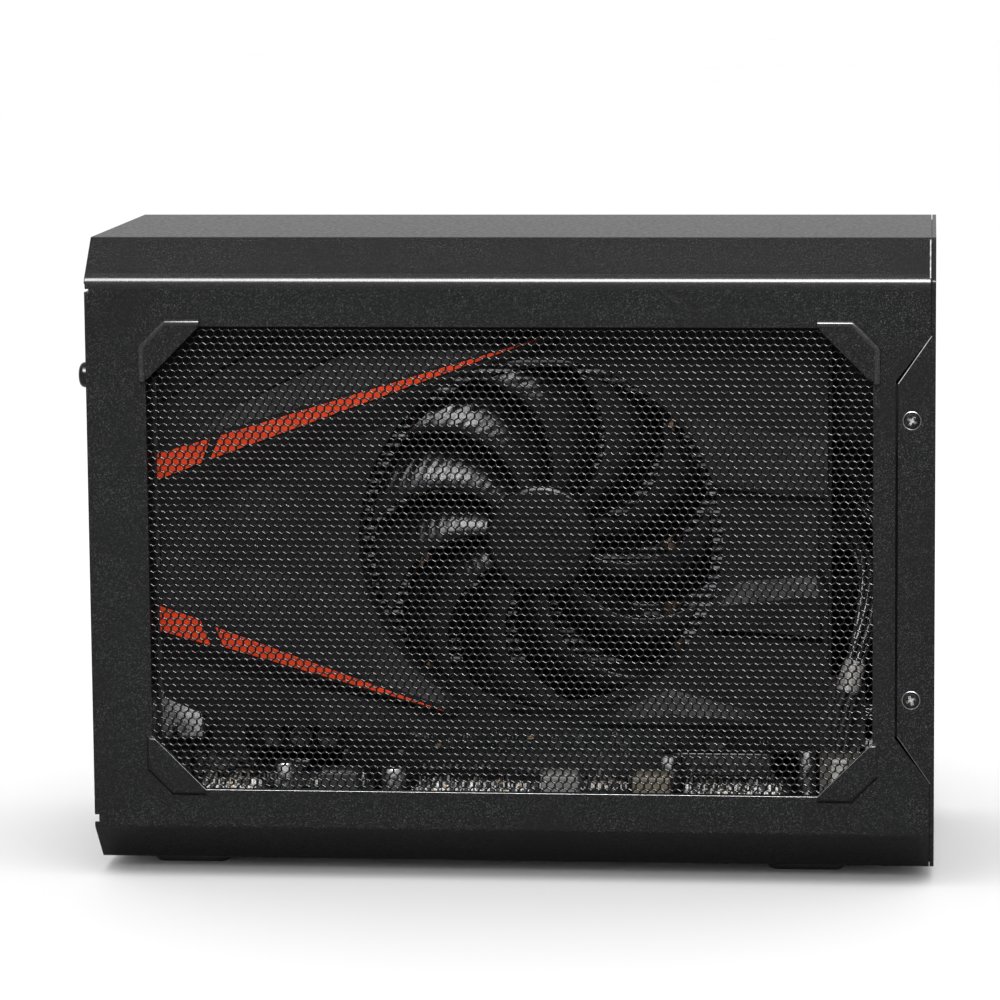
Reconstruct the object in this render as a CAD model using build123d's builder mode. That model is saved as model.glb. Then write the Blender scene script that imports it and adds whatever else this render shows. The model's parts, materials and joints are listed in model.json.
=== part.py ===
import os
from math import radians, sqrt, tan

from build123d import *

# Frame: millimetres, +X to the front panel, -Y is the fan side, +Z up, floor under the feet at Z = 0

# Case
case_length = 212.0
case_width = 96.0
case_height = 162.0
foot_height = 3.0
sheet = 1.0
bevel = 10.0
fold_radius = 1.5
fit_gap = 0.3
panel_seam = 0.2

# Side windows and their raised corners
window_rear_margin = 15.1
window_front_margin = 15.3
window_low_margin = 19.7
window_high_margin = 21.5
window_corner = 13.8
emboss_height = 0.8
emboss_slope = 45.0
emboss_lap = 1.4
emboss_cut = 6.5
emboss_crest_radius = 0.9

# Mesh sheets
mesh_sheet = 0.6
mesh_lap = 2.2
mesh_pitch = 14.0
mesh_web = 3.0
mesh_corner_share = 0.6

# Front panel tabs
notch_depth = 9.8
notch_length = 89.5
notch_flare = 12.9
tab_gap = 0.6
tab_end_gap = 1.6
front_screw_inset = 5.8
front_screw_spacing = 70.0

# Rear end
rear_recess = 14.0
return_width = 9.0
return_relief = 1.1
return_relief_rise = 2.0
return_end_gap = 3.0
rear_screw_inset = 5.0
rear_screw_height = 127.7

# Inner tray
tray_sheet = 1.2
tray_ear_depth = 11.0
tray_ear_margin = 2.0
tray_wall_border = 13.0

# Screws
flat_head_diameter = 4.4
flat_shank_diameter = 2.4
flat_head_depth = 0.9
flat_screw_length = 4.5
pan_head_diameter = 6.4
pan_head_height = 2.4
pan_edge_radius = 1.3
pan_shank_diameter = 3.0
pan_screw_length = 4.0
cross_length = 2.6
cross_width = 0.55
cross_depth = 0.5
screw_play = 0.05

# Feet
foot_length = 19.6
foot_width = 16.0
foot_corner = 3.0
foot_edge = 0.8
foot_rear_inset = 21.6
foot_front_inset = 32.3
foot_spacing = 44.0

# Graphics card
card_front_gap = 26.7
card_face = 1.0
board_sheet = 1.6
card_shoulder = 23.5
card_top_gap = 24.0
finger_drop = 8.2
finger_start = 42.4
finger_length = 85.8
key_start = 54.8
key_width = 1.9
bracket_sheet = 0.9
bracket_width = 40.5
bracket_overhang = 1.5
bracket_low = 13.0
bracket_ledge_height = 124.3
bracket_tab_depth = 10.5
bracket_play = 0.4

# Card sockets
dvi_length = 37.0
dvi_depth = 9.0
dvi_middle = 51.5
dvi_row = 5.5
dvi_row_pitch = 20.3
dvi_corner = 2.5
dvi_shell_length = 25.0
dvi_shell_width = 9.0
dvi_reach = 4.6
dvi_post_diameter = 4.6
dvi_post_offset = 16.0
slim_length = 15.2
slim_width = 6.2
slim_depth = 11.5
slim_reach = 0.8
slim_middles = (87.5, 109.5)
socket_wall = 0.7
socket_face_drop = 1.2
socket_play = 0.3
tongue_thickness = 1.1
vent_count = 7
vent_pitch = 6.0
vent_length = 15.0
vent_width = 3.0

# Cooler
chip_side = 36.0
chip_height = 2.2
base_length = 80.0
base_height = 60.0
base_thickness = 3.0
fin_reach = 16.8
fin_thickness = 0.6
fin_pitch = 2.4
fin_low_gap = 14.5
fin_high_gap = 14.2
fin_spine = 1.0
fin_rear_gap = 17.5
fin_front_gap = 5.5
pipe_diameter = 6.0
pipe_channel = 6.4
pipe_leg_gap = 13.4
pipe_offsets = (32.0, -32.0)
pipe_rise = 7.2
pipe_bend_radius = 6.6
memory_reach = 27.0
memory_pitch = 16.0
memory_width = 12.0
memory_length = 13.0
memory_height = 1.1
memory_pair_pitch = 18.0
edge_part_height = 4.6
edge_choke_start = 11.2
edge_choke_side = 9.0
edge_choke_depth = 6.0
edge_can_starts = (23.2, 30.4, 37.6)
edge_can_socket_gap = 18.0
edge_can_diameter = 6.6
edge_can_depth = 7.0

# Fan
fan_offset = 7.0
fan_height_share = 48.0 / 108.5
fan_opening_share = 92.0 / 108.5
fan_hub_diameter = 28.4
fan_hub_wall = 1.4
fan_hub_depth = 11.5
fan_tip_gap = 2.8
fan_blades = 11
fan_blade_thickness = 1.0
fan_blade_sweep = 30.0
fan_sweep_power = 1.8
blade_shares = (0, 0.35, 0.7, 1)
fan_root_chord = 10.0
fan_tip_chord = 23.5
fan_root_pitch = 48.0
fan_tip_pitch = 22.0
fan_face = 36.0
fan_shaft_diameter = 3.0
fan_bore_play = 0.05
mount_thickness = 2.0
mount_arm_width = 5.0
mount_leg_gap = 5.0
mount_leg_diameter = 6.0
stator_diameter = 23.0
stator_height = 8.8

# Shroud
shroud_face = 37.0
shroud_wall = 2.0
shroud_skirt = 15.0
shroud_low_gap = 34.5
shroud_high_gap = 16.0
facet_height = 2.4
accent_thickness = 0.6
shroud_skirt_start = 16.5
shroud_corner = 6.0
shroud_heel = (16.0, 7.0)
waist_top = 12.5
waist_bottom = -13.5
waist_depth = 2.5
ring_wall = 1.5
ring_depth = 8.0
post_diameter = 5.0

# Size at which the shroud's ridges and the carrier board's parts are drawn
drawn_left = -96.7
drawn_right = 72.3
drawn_height = 108.5
drawn_board_length = 181.5
drawn_board_middle = 1.25

# Carrier board
carrier_height = 10.0
carrier_side_gap = 6.2
board_rear_gap = 1.5
carrier_front_gap = 13.0
slot_height = 11.4
slot_width = 7.5
slot_overhang = 1.7
slot_groove_play = 0.3
slot_groove_depth = 8.7
standoff_diameter = 5.0
standoff_inset = 9.0
standoff_rear = 24.0
standoff_edge = 8.0

# Sockets on the carrier board
usb_width = 12.6
usb_height = 15.6
usb_depth = 17.5
usb_reach = 0.6
usb_port_height = 5.2
usb_port_levels = (0.27, 0.75)
host_width = 3.3
host_height = 9.0
host_depth = 7.5
host_wall = 0.7

# Parts on the carrier board: x, y and sizes
capacitor_places = (
    (-60.6, -24.0, 5.6, 14.0),
    (-33.0, -20.0, 6.3, 12.0),
    (37.7, -14.0, 5.0, 14.7),
    (73.5, -12.0, 4.5, 16.0),
    (-20.0, 20.0, 8.0, 14.0),
    (-8.0, 20.0, 8.0, 14.0),
)
choke_places = ((-46.0, -26.0), (10.9, -27.0), (34.3, -27.0), (4.0, 21.0))
choke_length = 9.6
choke_width = 8.0
choke_height = 12.6
choke_corner = 1.0
chip_places = (
    (-12.0, -18.0, 20.0, 14.0),
    (55.0, -20.0, 9.0, 9.0),
    (-74.0, -20.0, 10.0, 8.0),
    (-45.0, 24.0, 12.0, 12.0),
)
board_chip_height = 1.6
bridge_x = 45.0
bridge_y = 22.0
bridge_length = 36.0
bridge_width = 26.0
bridge_height = 10.0
bridge_base = 2.5
bridge_fin = 1.2
bridge_pitch = 3.1
bridge_fins = 9
header_front_gap = 10.0
header_y = -17.0
header_length = 10.0
header_width = 14.0
header_top = 28.0

# Card power socket and leads
power_socket_depth = 12.0
power_socket_width = 10.0
power_socket_length = 18.0
power_socket_z = 36.0
power_plug_depth = 9.0
lead_diameter = 6.0
card_lead_rise = 29.0
supply_lead_rise = 12.0
card_lead_shares = (0.35, 0.57, 0.8, 0.95)
supply_lead_shares = (0.87, 0.63, 0.37)
lead_end_share = 0.85
lead_run_share = 0.45

# Power supply
supply_front_gap = 47.0
supply_card_gap = 2.0
supply_height = 81.5
supply_top_gap = 10.5
supply_wall = 1.0
supply_pocket = 18.0
supply_side_gap = 0.2
supply_fan_margin = 1.25
supply_fan_depth = 15.0
supply_fan_wall = 1.0
supply_fan_top_gap = 3.0
supply_fan_gap = 1.0
supply_fan_inlet_gap = 1.7
supply_fan_blades = 7
supply_hub_diameter = 20.0
supply_tip_gap = 1.4
supply_root_chord = 8.0
supply_tip_chord = 11.0
supply_shaft_diameter = 2.0
supply_stator_diameter = 20.0
supply_arm_width = 3.0
supply_screw_edge = 4.2
grille_half_count = 3
grille_pitch = 4.6
grille_slot = 3.0
grille_margin = 1.5
shelf_length = 60.0
shelf_front_gap = 3.0
guard_low_gap = 6.0

# Mains inlet
inlet_length = 31.0
inlet_width = 24.0
inlet_rise = 23.3
inlet_flange = 2.3
inlet_depth = 16.5
inlet_body_length = 27.0
inlet_body_width = 19.6
inlet_cavity_length = 24.2
inlet_cavity_width = 16.6
inlet_corner = 3.5
pin_spacing = 7.0
pin_shift = 2.0
pin_width = 4.0
pin_thickness = 2.0
pin_recess = 2.5

rear = -case_length / 2
front = case_length / 2
side = case_width / 2 - emboss_height
low = foot_height
high = case_height
middle = (low + high) / 2
inner_side = side - sheet
inner_low = low + sheet
sleeve_front = front - sheet - panel_seam
mesh_inner = inner_side - mesh_sheet

window_rear = rear + window_rear_margin
window_front = front - window_front_margin
window_low = low + window_low_margin
window_high = high - window_high_margin
window_length = window_front - window_rear
window_height = window_high - window_low
window_x = (window_rear + window_front) / 2
window_z = (window_low + window_high) / 2

panel_outer = rear + rear_recess
panel_inner = panel_outer + sheet
panel_side = mesh_inner - fit_gap
panel_inset = side - panel_side

tray_top = inner_low + tray_sheet
carrier_top = carrier_height + board_sheet

card_rear = panel_inner + bracket_sheet + bracket_play
card_front = front - card_front_gap
card_length = card_front - card_rear
card_back = card_face + board_sheet
card_low = card_shoulder - finger_drop
card_top = high - card_top_gap

base_face = card_face - chip_height
fin_root = base_face - base_thickness
fin_tip = fin_root - fin_reach
mount_back = fin_tip - fit_gap
mount_front = mount_back - mount_thickness
shroud_low = low + shroud_low_gap
shroud_high = high - shroud_high_gap
shroud_height = shroud_high - shroud_low
fan_x = fan_offset
fan_z = shroud_low + fan_height_share * shroud_height
fan_opening = fan_opening_share * shroud_height
fan_tip_reach = fan_opening / 2 - fan_tip_gap
mount_leg_reach = fan_opening / 2 + mount_leg_gap
fan_front = -fan_face
fan_hub_back = fan_front + fan_hub_depth
shroud_back = -shroud_face + shroud_wall

supply_far = panel_side - supply_side_gap
supply_near = card_back + supply_card_gap
supply_y = (supply_far + supply_near) / 2
supply_top = high - supply_top_gap
supply_bottom = supply_top - supply_height
supply_front = front - supply_front_gap
supply_fan_room = supply_height - inlet_rise - inlet_length / 2 - supply_fan_inlet_gap - supply_fan_top_gap
supply_fan_size = min(supply_far - supply_near - 2 * supply_fan_margin, supply_fan_room)
supply_fan_bore = supply_fan_size - 2 * supply_fan_wall
supply_tip_reach = supply_fan_bore / 2 - supply_tip_gap
supply_fan_z = supply_top - supply_fan_top_gap - supply_fan_size / 2


def case_section(x, inset, fold):
    """Octagonal section of the case at x, taken in by inset."""
    with BuildSketch(Plane.YZ.offset(x)) as section:
        with Locations((0, middle)):
            Rectangle(2 * (side - inset), high - low - 2 * inset)
        chamfer(section.vertices(), bevel - inset * (2 - sqrt(2)))
        if fold > 0:
            fillet(section.vertices(), fold)
    return section.sketch


def block(x, y, z):
    """Box between two corners given as pairs along each axis."""
    with Locations(((x[0] + x[1]) / 2, (y[0] + y[1]) / 2, (z[0] + z[1]) / 2)):
        return Box(abs(x[1] - x[0]), abs(y[1] - y[0]), abs(z[1] - z[0]))


def cut(x, y, z):
    """Box taken away between two corners."""
    with Locations(((x[0] + x[1]) / 2, (y[0] + y[1]) / 2, (z[0] + z[1]) / 2)):
        Box(abs(x[1] - x[0]), abs(y[1] - y[0]), abs(z[1] - z[0]), mode=Mode.SUBTRACT)


def around(centre, size):
    """Pair of ends of a span about its centre."""
    return (centre - size / 2, centre + size / 2)


def seat(x, y, z, normal):
    """Plane on which a screw head rests, facing along normal."""
    return Plane(origin=(x, y, z), z_dir=normal)


def side_plane(y):
    """Plane parallel to the sides, facing the fan side, with its origin at the window's middle."""
    return Plane(origin=(window_x, y, window_z), x_dir=(1, 0, 0), z_dir=(0, -1, 0))


def card_plane(y):
    """Plane parallel to the card, facing the fan side, with its origin on the fan axis."""
    return Plane(origin=(fan_x, y, fan_z), x_dir=(1, 0, 0), z_dir=(0, -1, 0))


# Seats of the screws that hold the case
front_screw_x = front - front_screw_inset
front_seats = [
    seat(front_screw_x, facing * side, middle + end * front_screw_spacing / 2, (0, facing, 0))
    for facing in (-1, 1)
    for end in (-1, 1)
]
rear_seats = [
    seat(rear, facing * (side - rear_screw_inset), rear_screw_height, (-1, 0, 0))
    for facing in (-1, 1)
]

# Flat head screw with its head level with the seat
with BuildPart() as flat_screw:
    with BuildSketch(Plane.XZ):
        with BuildLine():
            Polyline(
                (0, 0),
                (flat_head_diameter / 2, 0),
                (flat_shank_diameter / 2, -flat_head_depth),
                (flat_shank_diameter / 2, -flat_screw_length),
                (0, -flat_screw_length),
                close=True,
            )
        make_face()
    revolve(axis=Axis.Z)
    with BuildSketch(Plane.XY):
        Rectangle(cross_length, cross_width)
        Rectangle(cross_width, cross_length)
    extrude(amount=-cross_depth, mode=Mode.SUBTRACT)

# Pan head screw that stands on its seat
with BuildPart() as pan_screw:
    Cylinder(pan_head_diameter / 2, pan_head_height, align=(Align.CENTER, Align.CENTER, Align.MIN))
    fillet(pan_screw.edges().group_by(Axis.Z)[-1], pan_edge_radius)
    Cylinder(
        pan_shank_diameter / 2,
        pan_screw_length,
        align=(Align.CENTER, Align.CENTER, Align.MAX),
    )
    with BuildSketch(Plane.XY.offset(pan_head_height)):
        Rectangle(cross_length, cross_width)
        Rectangle(cross_width, cross_length)
    extrude(amount=-cross_depth, mode=Mode.SUBTRACT)

# Raised pads round the corners of a side window, with rounded crests
with BuildPart() as corner_pads:
    with BuildSketch(side_plane(-side)):
        with BuildLine():
            Polyline(
                (window_length / 2 - window_corner, window_height / 2 + emboss_lap),
                (window_length / 2 + emboss_lap - emboss_cut, window_height / 2 + emboss_lap),
                (window_length / 2 + emboss_lap, window_height / 2 + emboss_lap - emboss_cut),
                (window_length / 2 + emboss_lap, window_height / 2 - window_corner),
                (window_length / 2 - window_corner, window_height / 2 - window_corner),
                close=True,
            )
        make_face()
        mirror(about=Plane.YZ)
        mirror(about=Plane.XZ)
    extrude(amount=emboss_height, taper=emboss_slope)
    fillet(corner_pads.edges().group_by(Axis.Y)[0], emboss_crest_radius)

# Outer sleeve: one folded sheet, open at the front, with narrow returns at the rear
with BuildPart() as outer_sleeve:
    extrude(case_section(rear, 0, fold_radius), amount=sleeve_front - rear)
    add(corner_pads.part)
    mirror(corner_pads.part, about=Plane.XZ)
    hollow = case_section(rear, sheet, fold_radius - sheet)
    extrude(hollow, amount=sleeve_front - rear, mode=Mode.SUBTRACT)
    with BuildSketch(side_plane(0)) as window:
        Rectangle(window_length, window_height)
        chamfer(window.vertices(), window_corner)
    extrude(amount=case_width, both=True, mode=Mode.SUBTRACT)
    with BuildSketch(Plane.XZ):
        with BuildLine():
            Polyline(
                (front, middle - notch_length / 2 - notch_flare),
                (front - notch_depth, middle - notch_length / 2),
                (front - notch_depth, middle + notch_length / 2),
                (front, middle + notch_length / 2 + notch_flare),
                close=True,
            )
        make_face()
    extrude(amount=case_width, both=True, mode=Mode.SUBTRACT)
    return_low = low + bevel + return_end_gap
    return_high = high - bevel - return_end_gap
    for facing in (-1, 1):
        block(
            (rear, rear + sheet),
            (facing * (side - return_width), facing * (side - sheet / 2)),
            (return_low, return_high),
        )
        for end, away in ((return_low, -1), (return_high, 1)):
            cut(
                (rear - sheet, rear + return_relief),
                (facing * (inner_side - sheet), facing * (side + sheet)),
                (end, end + away * return_relief_rise),
            )
    with Locations(*rear_seats):
        Hole(pan_shank_diameter / 2 + screw_play, depth=2 * sheet)


def mesh_gap_points():
    """Middles of the mesh gaps: staggered rows that stay inside the window."""
    row_pitch = mesh_pitch * sqrt(3) / 2
    reach_x = (window_length - mesh_pitch) / 2
    reach_z = (window_height - mesh_pitch) / 2
    rows = int(reach_z / row_pitch)
    columns = int(reach_x / mesh_pitch) + 1
    points = []
    for row in range(-rows, rows + 1):
        shift = mesh_pitch / 2 if row % 2 else 0
        for column in range(-columns, columns + 1):
            x = column * mesh_pitch + shift
            z = row * row_pitch
            past_corner = abs(x) + abs(z) - (window_length + window_height) / 2 + window_corner
            if abs(x) <= reach_x and past_corner < -mesh_pitch * mesh_corner_share:
                points.append((x, z))
    return points


# Mesh sheet behind the fan side window
with BuildPart() as fan_side_mesh:
    with BuildSketch(side_plane(-inner_side)):
        Rectangle(window_length + 2 * mesh_lap, window_height + 2 * mesh_lap)
        with Locations(*mesh_gap_points()):
            RegularPolygon(
                (mesh_pitch - mesh_web) / 2,
                6,
                major_radius=False,
                rotation=30,
                mode=Mode.SUBTRACT,
            )
    extrude(amount=-mesh_sheet)

# Mesh sheet behind the far side window
with BuildPart() as far_side_mesh:
    mirror(fan_side_mesh.part, about=Plane.XZ)

# Front panel: a plate with two side tabs folded back into the sleeve's notches
with BuildPart() as front_panel:
    extrude(case_section(front - sheet, 0, fold_radius), amount=sheet)
    with BuildSketch(Plane.XZ.offset(side)):
        with BuildLine():
            Polyline(
                (front - sheet, middle - notch_length / 2 - notch_flare + tab_end_gap),
                (front - notch_depth + tab_gap, middle - notch_length / 2 + tab_gap),
                (front - notch_depth + tab_gap, middle + notch_length / 2 - tab_gap),
                (front - sheet, middle + notch_length / 2 + notch_flare - tab_end_gap),
                close=True,
            )
        make_face()
    side_tab = extrude(amount=-sheet)
    mirror(side_tab, about=Plane.XZ)
    with Locations(*front_seats):
        CounterSinkHole(
            flat_shank_diameter / 2 + screw_play,
            flat_head_diameter / 2 + screw_play,
            depth=2 * sheet,
            counter_sink_angle=90,
        )

# Inner tray: floor, front wall and the two ears that take the front screws
with BuildPart() as base_tray:
    tray_front = front - sheet
    tray_half = side - bevel - sheet
    block((panel_inner, tray_front), (-tray_half, tray_half), (inner_low, tray_top))
    extrude(case_section(tray_front - tray_sheet, sheet + fit_gap, 0), amount=tray_sheet)
    ear_half = notch_length / 2 - tray_ear_margin
    for facing in (-1, 1):
        block(
            (tray_front - tray_ear_depth, tray_front),
            (facing * (inner_side - tray_sheet), facing * inner_side),
            around(middle, 2 * ear_half),
        )
    cut(
        (tray_front - 2 * tray_sheet, tray_front + tray_sheet),
        around(0, 2 * (side - tray_wall_border)),
        (low + tray_wall_border, high - tray_wall_border),
    )
    with Locations(*front_seats):
        Hole(flat_shank_diameter / 2 + screw_play, depth=flat_screw_length)

# Bracket, sockets and supply positions on the rear panel
bracket_far = card_back + bracket_overhang
bracket_near = bracket_far - bracket_width
bracket_top = bracket_ledge_height + sheet
ledge_screw_x = panel_outer - bracket_tab_depth / 2
ledge_screw_ys = (bracket_near + bracket_width / 4, bracket_far - bracket_width / 4)
ledge_seats = [seat(ledge_screw_x, y, bracket_top + bracket_sheet, (0, 0, 1)) for y in ledge_screw_ys]
inlet_z = supply_bottom + inlet_rise
supply_screw_top_gap = supply_fan_top_gap + supply_screw_edge - supply_fan_margin
supply_seats = [
    seat(panel_outer, y, z, (-1, 0, 0))
    for y in (supply_near + supply_screw_edge, supply_far - supply_screw_edge)
    for z in (supply_bottom + supply_screw_edge, supply_top - supply_screw_top_gap)
]

# Row of sockets between the card's bracket and the edge of the carrier board
carrier_half_width = side - carrier_side_gap
socket_gap = (carrier_half_width - bracket_far - 2 * usb_width - host_width) / 3
usb_first = bracket_far + socket_gap + usb_width / 2
usb_ys = (usb_first, usb_first + usb_width + socket_gap)
host_y = carrier_half_width - host_width / 2

# Rear panel: recessed floor, side webs that reach back to the sleeve's returns, and a card ledge
with BuildPart() as rear_panel:
    extrude(case_section(panel_outer, panel_inset, 0), amount=sheet)
    lip_low = return_low + return_relief_rise
    lip_high = return_high - return_relief_rise
    for facing in (-1, 1):
        block(
            (rear + sheet, panel_inner),
            (facing * (panel_side - sheet), facing * panel_side),
            (lip_low, lip_high),
        )
        block(
            (rear + sheet, rear + 2 * sheet),
            (facing * (side - return_width), facing * panel_side),
            (lip_low, lip_high),
        )
    block(
        (panel_outer - bracket_tab_depth, panel_inner),
        (bracket_near, bracket_far),
        (bracket_ledge_height, bracket_top),
    )
    cut(
        (panel_outer - sheet, panel_inner + sheet),
        (bracket_near + bracket_overhang, bracket_far - bracket_overhang),
        (bracket_low + 2 * bracket_overhang, bracket_ledge_height),
    )
    cut(
        (panel_outer - sheet, panel_inner + sheet),
        (bracket_near - fit_gap, bracket_far + fit_gap),
        (bracket_top, bracket_top + bracket_sheet + fit_gap),
    )
    with BuildSketch(Plane.YZ.offset(panel_outer)):
        with Locations((supply_y, supply_fan_z)):
            Circle(supply_fan_bore / 2)
        with Locations((supply_y, inlet_z)):
            Rectangle(inlet_width + 2 * socket_play, inlet_length + 2 * socket_play)
        for usb_y in usb_ys:
            with Locations((usb_y, carrier_top + usb_height / 2)):
                Rectangle(usb_width + 2 * socket_play, usb_height + 2 * socket_play)
        with Locations((host_y, carrier_top + host_height / 2)):
            SlotOverall(host_height + 2 * socket_play, host_width + 2 * socket_play, rotation=90)
    extrude(amount=sheet, mode=Mode.SUBTRACT)
    with Locations(*rear_seats):
        Hole(pan_shank_diameter / 2 + screw_play, depth=3 * sheet)
    with Locations(*ledge_seats):
        Hole(pan_shank_diameter / 2 + screw_play, depth=3 * sheet)
    with Locations(*supply_seats):
        Hole(pan_shank_diameter / 2 + screw_play, depth=2 * sheet)

# Screws that hold the case, the card and the supply
with BuildPart() as front_panel_screws:
    with Locations(*front_seats):
        add(flat_screw.part)

with BuildPart() as rear_screws:
    with Locations(*rear_seats):
        add(pan_screw.part)

with BuildPart() as bracket_screws:
    with Locations(*ledge_seats):
        add(pan_screw.part)

with BuildPart() as supply_screws:
    with Locations(*supply_seats):
        add(pan_screw.part)

# Four moulded feet under the sleeve
with BuildPart() as rubber_feet:
    foot_xs = (rear + foot_rear_inset, front - foot_front_inset)
    foot_points = [(x, y) for x in foot_xs for y in around(0, foot_spacing)]
    with BuildSketch():
        with Locations(*foot_points):
            RectangleRounded(foot_length, foot_width, foot_corner)
    extrude(amount=foot_height)
    chamfer(rubber_feet.edges().group_by(Axis.Z)[0], foot_edge)

# Graphics card board with its edge fingers and key notch
with BuildPart() as graphics_board:
    with BuildSketch(Plane.XZ.offset(-card_back)):
        with Locations(((card_rear + card_front) / 2, (card_shoulder + card_top) / 2)):
            Rectangle(card_length, card_top - card_shoulder)
        with Locations((card_rear + finger_start + finger_length / 2, card_shoulder - finger_drop / 2)):
            Rectangle(finger_length, finger_drop)
        with Locations((card_rear + key_start + key_width / 2, card_low)):
            Rectangle(key_width, 2 * finger_drop, mode=Mode.SUBTRACT)
    extrude(amount=board_sheet)

# Positions of the card's sockets across the bracket
dvi_rows = (card_face - dvi_row, card_face - dvi_row - dvi_row_pitch)
slim_row = card_face - slim_width / 2
bracket_inner = panel_inner + bracket_sheet

# Two-slot bracket with its screw tab turned outwards over the ledge
with BuildPart() as card_bracket:
    block(
        (panel_inner, bracket_inner),
        (bracket_near, bracket_far),
        (bracket_low, bracket_top + bracket_sheet),
    )
    block(
        (panel_outer - bracket_tab_depth, bracket_inner),
        (bracket_near, bracket_far),
        (bracket_top, bracket_top + bracket_sheet),
    )
    with BuildSketch(Plane.YZ.offset(panel_inner)):
        for row in dvi_rows:
            with Locations((row, dvi_middle)):
                RectangleRounded(
                    dvi_shell_width + 2 * socket_play,
                    dvi_shell_length + 2 * socket_play,
                    dvi_corner,
                )
            with Locations((row, dvi_middle - dvi_post_offset), (row, dvi_middle + dvi_post_offset)):
                Circle(dvi_post_diameter / 2 + socket_play)
        for slim_z in slim_middles:
            with Locations((slim_row, slim_z)):
                Rectangle(slim_width + 2 * socket_play, slim_length + 2 * socket_play)
        with Locations((dvi_rows[1], (slim_middles[0] + slim_middles[1]) / 2)):
            with GridLocations(0, vent_pitch, 1, vent_count):
                SlotOverall(vent_length, vent_width)
    extrude(amount=bracket_sheet, mode=Mode.SUBTRACT)
    with Locations(*ledge_seats):
        Hole(pan_shank_diameter / 2 + screw_play, depth=3 * sheet)

# Stacked pair of large video sockets: one shielded housing with two shells and four posts
with BuildPart() as stacked_video_sockets:
    block(
        (bracket_inner, bracket_inner + dvi_depth),
        (dvi_rows[1] - dvi_row, card_face),
        around(dvi_middle, dvi_length),
    )
    with BuildSketch(Plane.YZ.offset(bracket_inner)):
        for row in dvi_rows:
            with Locations((row, dvi_middle)):
                RectangleRounded(dvi_shell_width, dvi_shell_length, dvi_corner - socket_play)
            with Locations((row, dvi_middle - dvi_post_offset), (row, dvi_middle + dvi_post_offset)):
                Circle(dvi_post_diameter / 2)
    extrude(amount=-(bracket_sheet + sheet + dvi_reach))
    with BuildSketch(Plane.YZ.offset(panel_outer - dvi_reach)):
        for row in dvi_rows:
            with Locations((row, dvi_middle)):
                Rectangle(dvi_shell_width - 2 * socket_wall, dvi_shell_length - 2 * socket_wall)
    extrude(amount=socket_face_drop, mode=Mode.SUBTRACT)

# Two slim video sockets, each a shell around a contact tongue
with BuildPart() as slim_video_sockets:
    slim_mouth = panel_outer - slim_reach
    for slim_z in slim_middles:
        block(
            (slim_mouth, slim_mouth + slim_depth),
            (card_face - slim_width, card_face),
            around(slim_z, slim_length),
        )
        cut(
            (slim_mouth, slim_mouth + slim_depth - 2 * sheet),
            around(slim_row, slim_width - 2 * socket_wall),
            around(slim_z, slim_length - 2 * socket_wall),
        )
        block(
            (slim_mouth + sheet, slim_mouth + slim_depth - sheet),
            around(slim_row, tongue_thickness),
            around(slim_z, slim_length - 4 * socket_wall),
        )

# Main chip under the cooler, and the memory around it
with BuildPart() as main_chip:
    block(around(fan_x, chip_side), (card_face, base_face), around(fan_z, chip_side))

with BuildPart() as memory_chips:
    with BuildSketch(card_plane(card_face)):
        with GridLocations(2 * memory_reach, memory_pitch, 2, 3):
            Rectangle(memory_width, memory_length)
        with Locations((0, memory_reach)):
            with GridLocations(memory_pair_pitch, 0, 2, 1):
                Rectangle(memory_width, memory_length)
    extrude(amount=memory_height)

# Choke and upright cans along the lower edge of the card
edge_z = card_shoulder + edge_part_height
with BuildPart() as card_choke:
    block(
        around(card_rear + edge_choke_start, edge_choke_side),
        (card_face, card_face - edge_choke_depth),
        around(edge_z, edge_choke_side),
    )
    chamfer(card_choke.edges().filter_by(Axis.Y), choke_corner)

edge_can_xs = [card_rear + start for start in edge_can_starts]
edge_can_xs.append(card_front - power_socket_depth - edge_can_socket_gap)
with BuildPart() as card_capacitors:
    with BuildSketch(Plane.XZ.offset(-card_face)):
        with Locations(*[(x, edge_z) for x in edge_can_xs]):
            Circle(edge_can_diameter / 2)
    extrude(amount=edge_can_depth)

# Finned cooler: one comb of horizontal fins on a base block, with channels for the heat pipes
fin_rear = card_rear + fin_rear_gap
fin_front = card_front - fin_front_gap
fin_low = shroud_low + fin_low_gap
fin_count = round((shroud_height - fin_low_gap - fin_high_gap - fin_thickness) / fin_pitch) + 1
fin_high = fin_low + (fin_count - 1) * fin_pitch + fin_thickness
pipe_inner = base_face - pipe_diameter / 2
pipe_outer = pipe_inner - pipe_leg_gap
with BuildPart() as heatsink:
    with BuildSketch(Plane.YZ.offset(fin_rear)):
        with Locations((fin_root + fin_spine / 2, (fin_low + fin_high) / 2)):
            Rectangle(fin_spine, fin_high - fin_low)
        with Locations((fin_tip + fin_reach / 2, (fin_low + fin_high) / 2)):
            with GridLocations(0, fin_pitch, 1, fin_count):
                Rectangle(fin_reach, fin_thickness)
    extrude(amount=fin_front - fin_rear)
    block(around(fan_x, base_length), (fin_root, base_face), around(fan_z, base_height))
    for pipe_offset in pipe_offsets:
        channel = around(fan_x + pipe_offset, pipe_channel)
        cut(channel, (pipe_inner - pipe_channel / 2, base_face + sheet), (shroud_low, shroud_high))
        cut(channel, (fin_tip - sheet, pipe_outer + pipe_channel / 2), (shroud_low, shroud_high))

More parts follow.
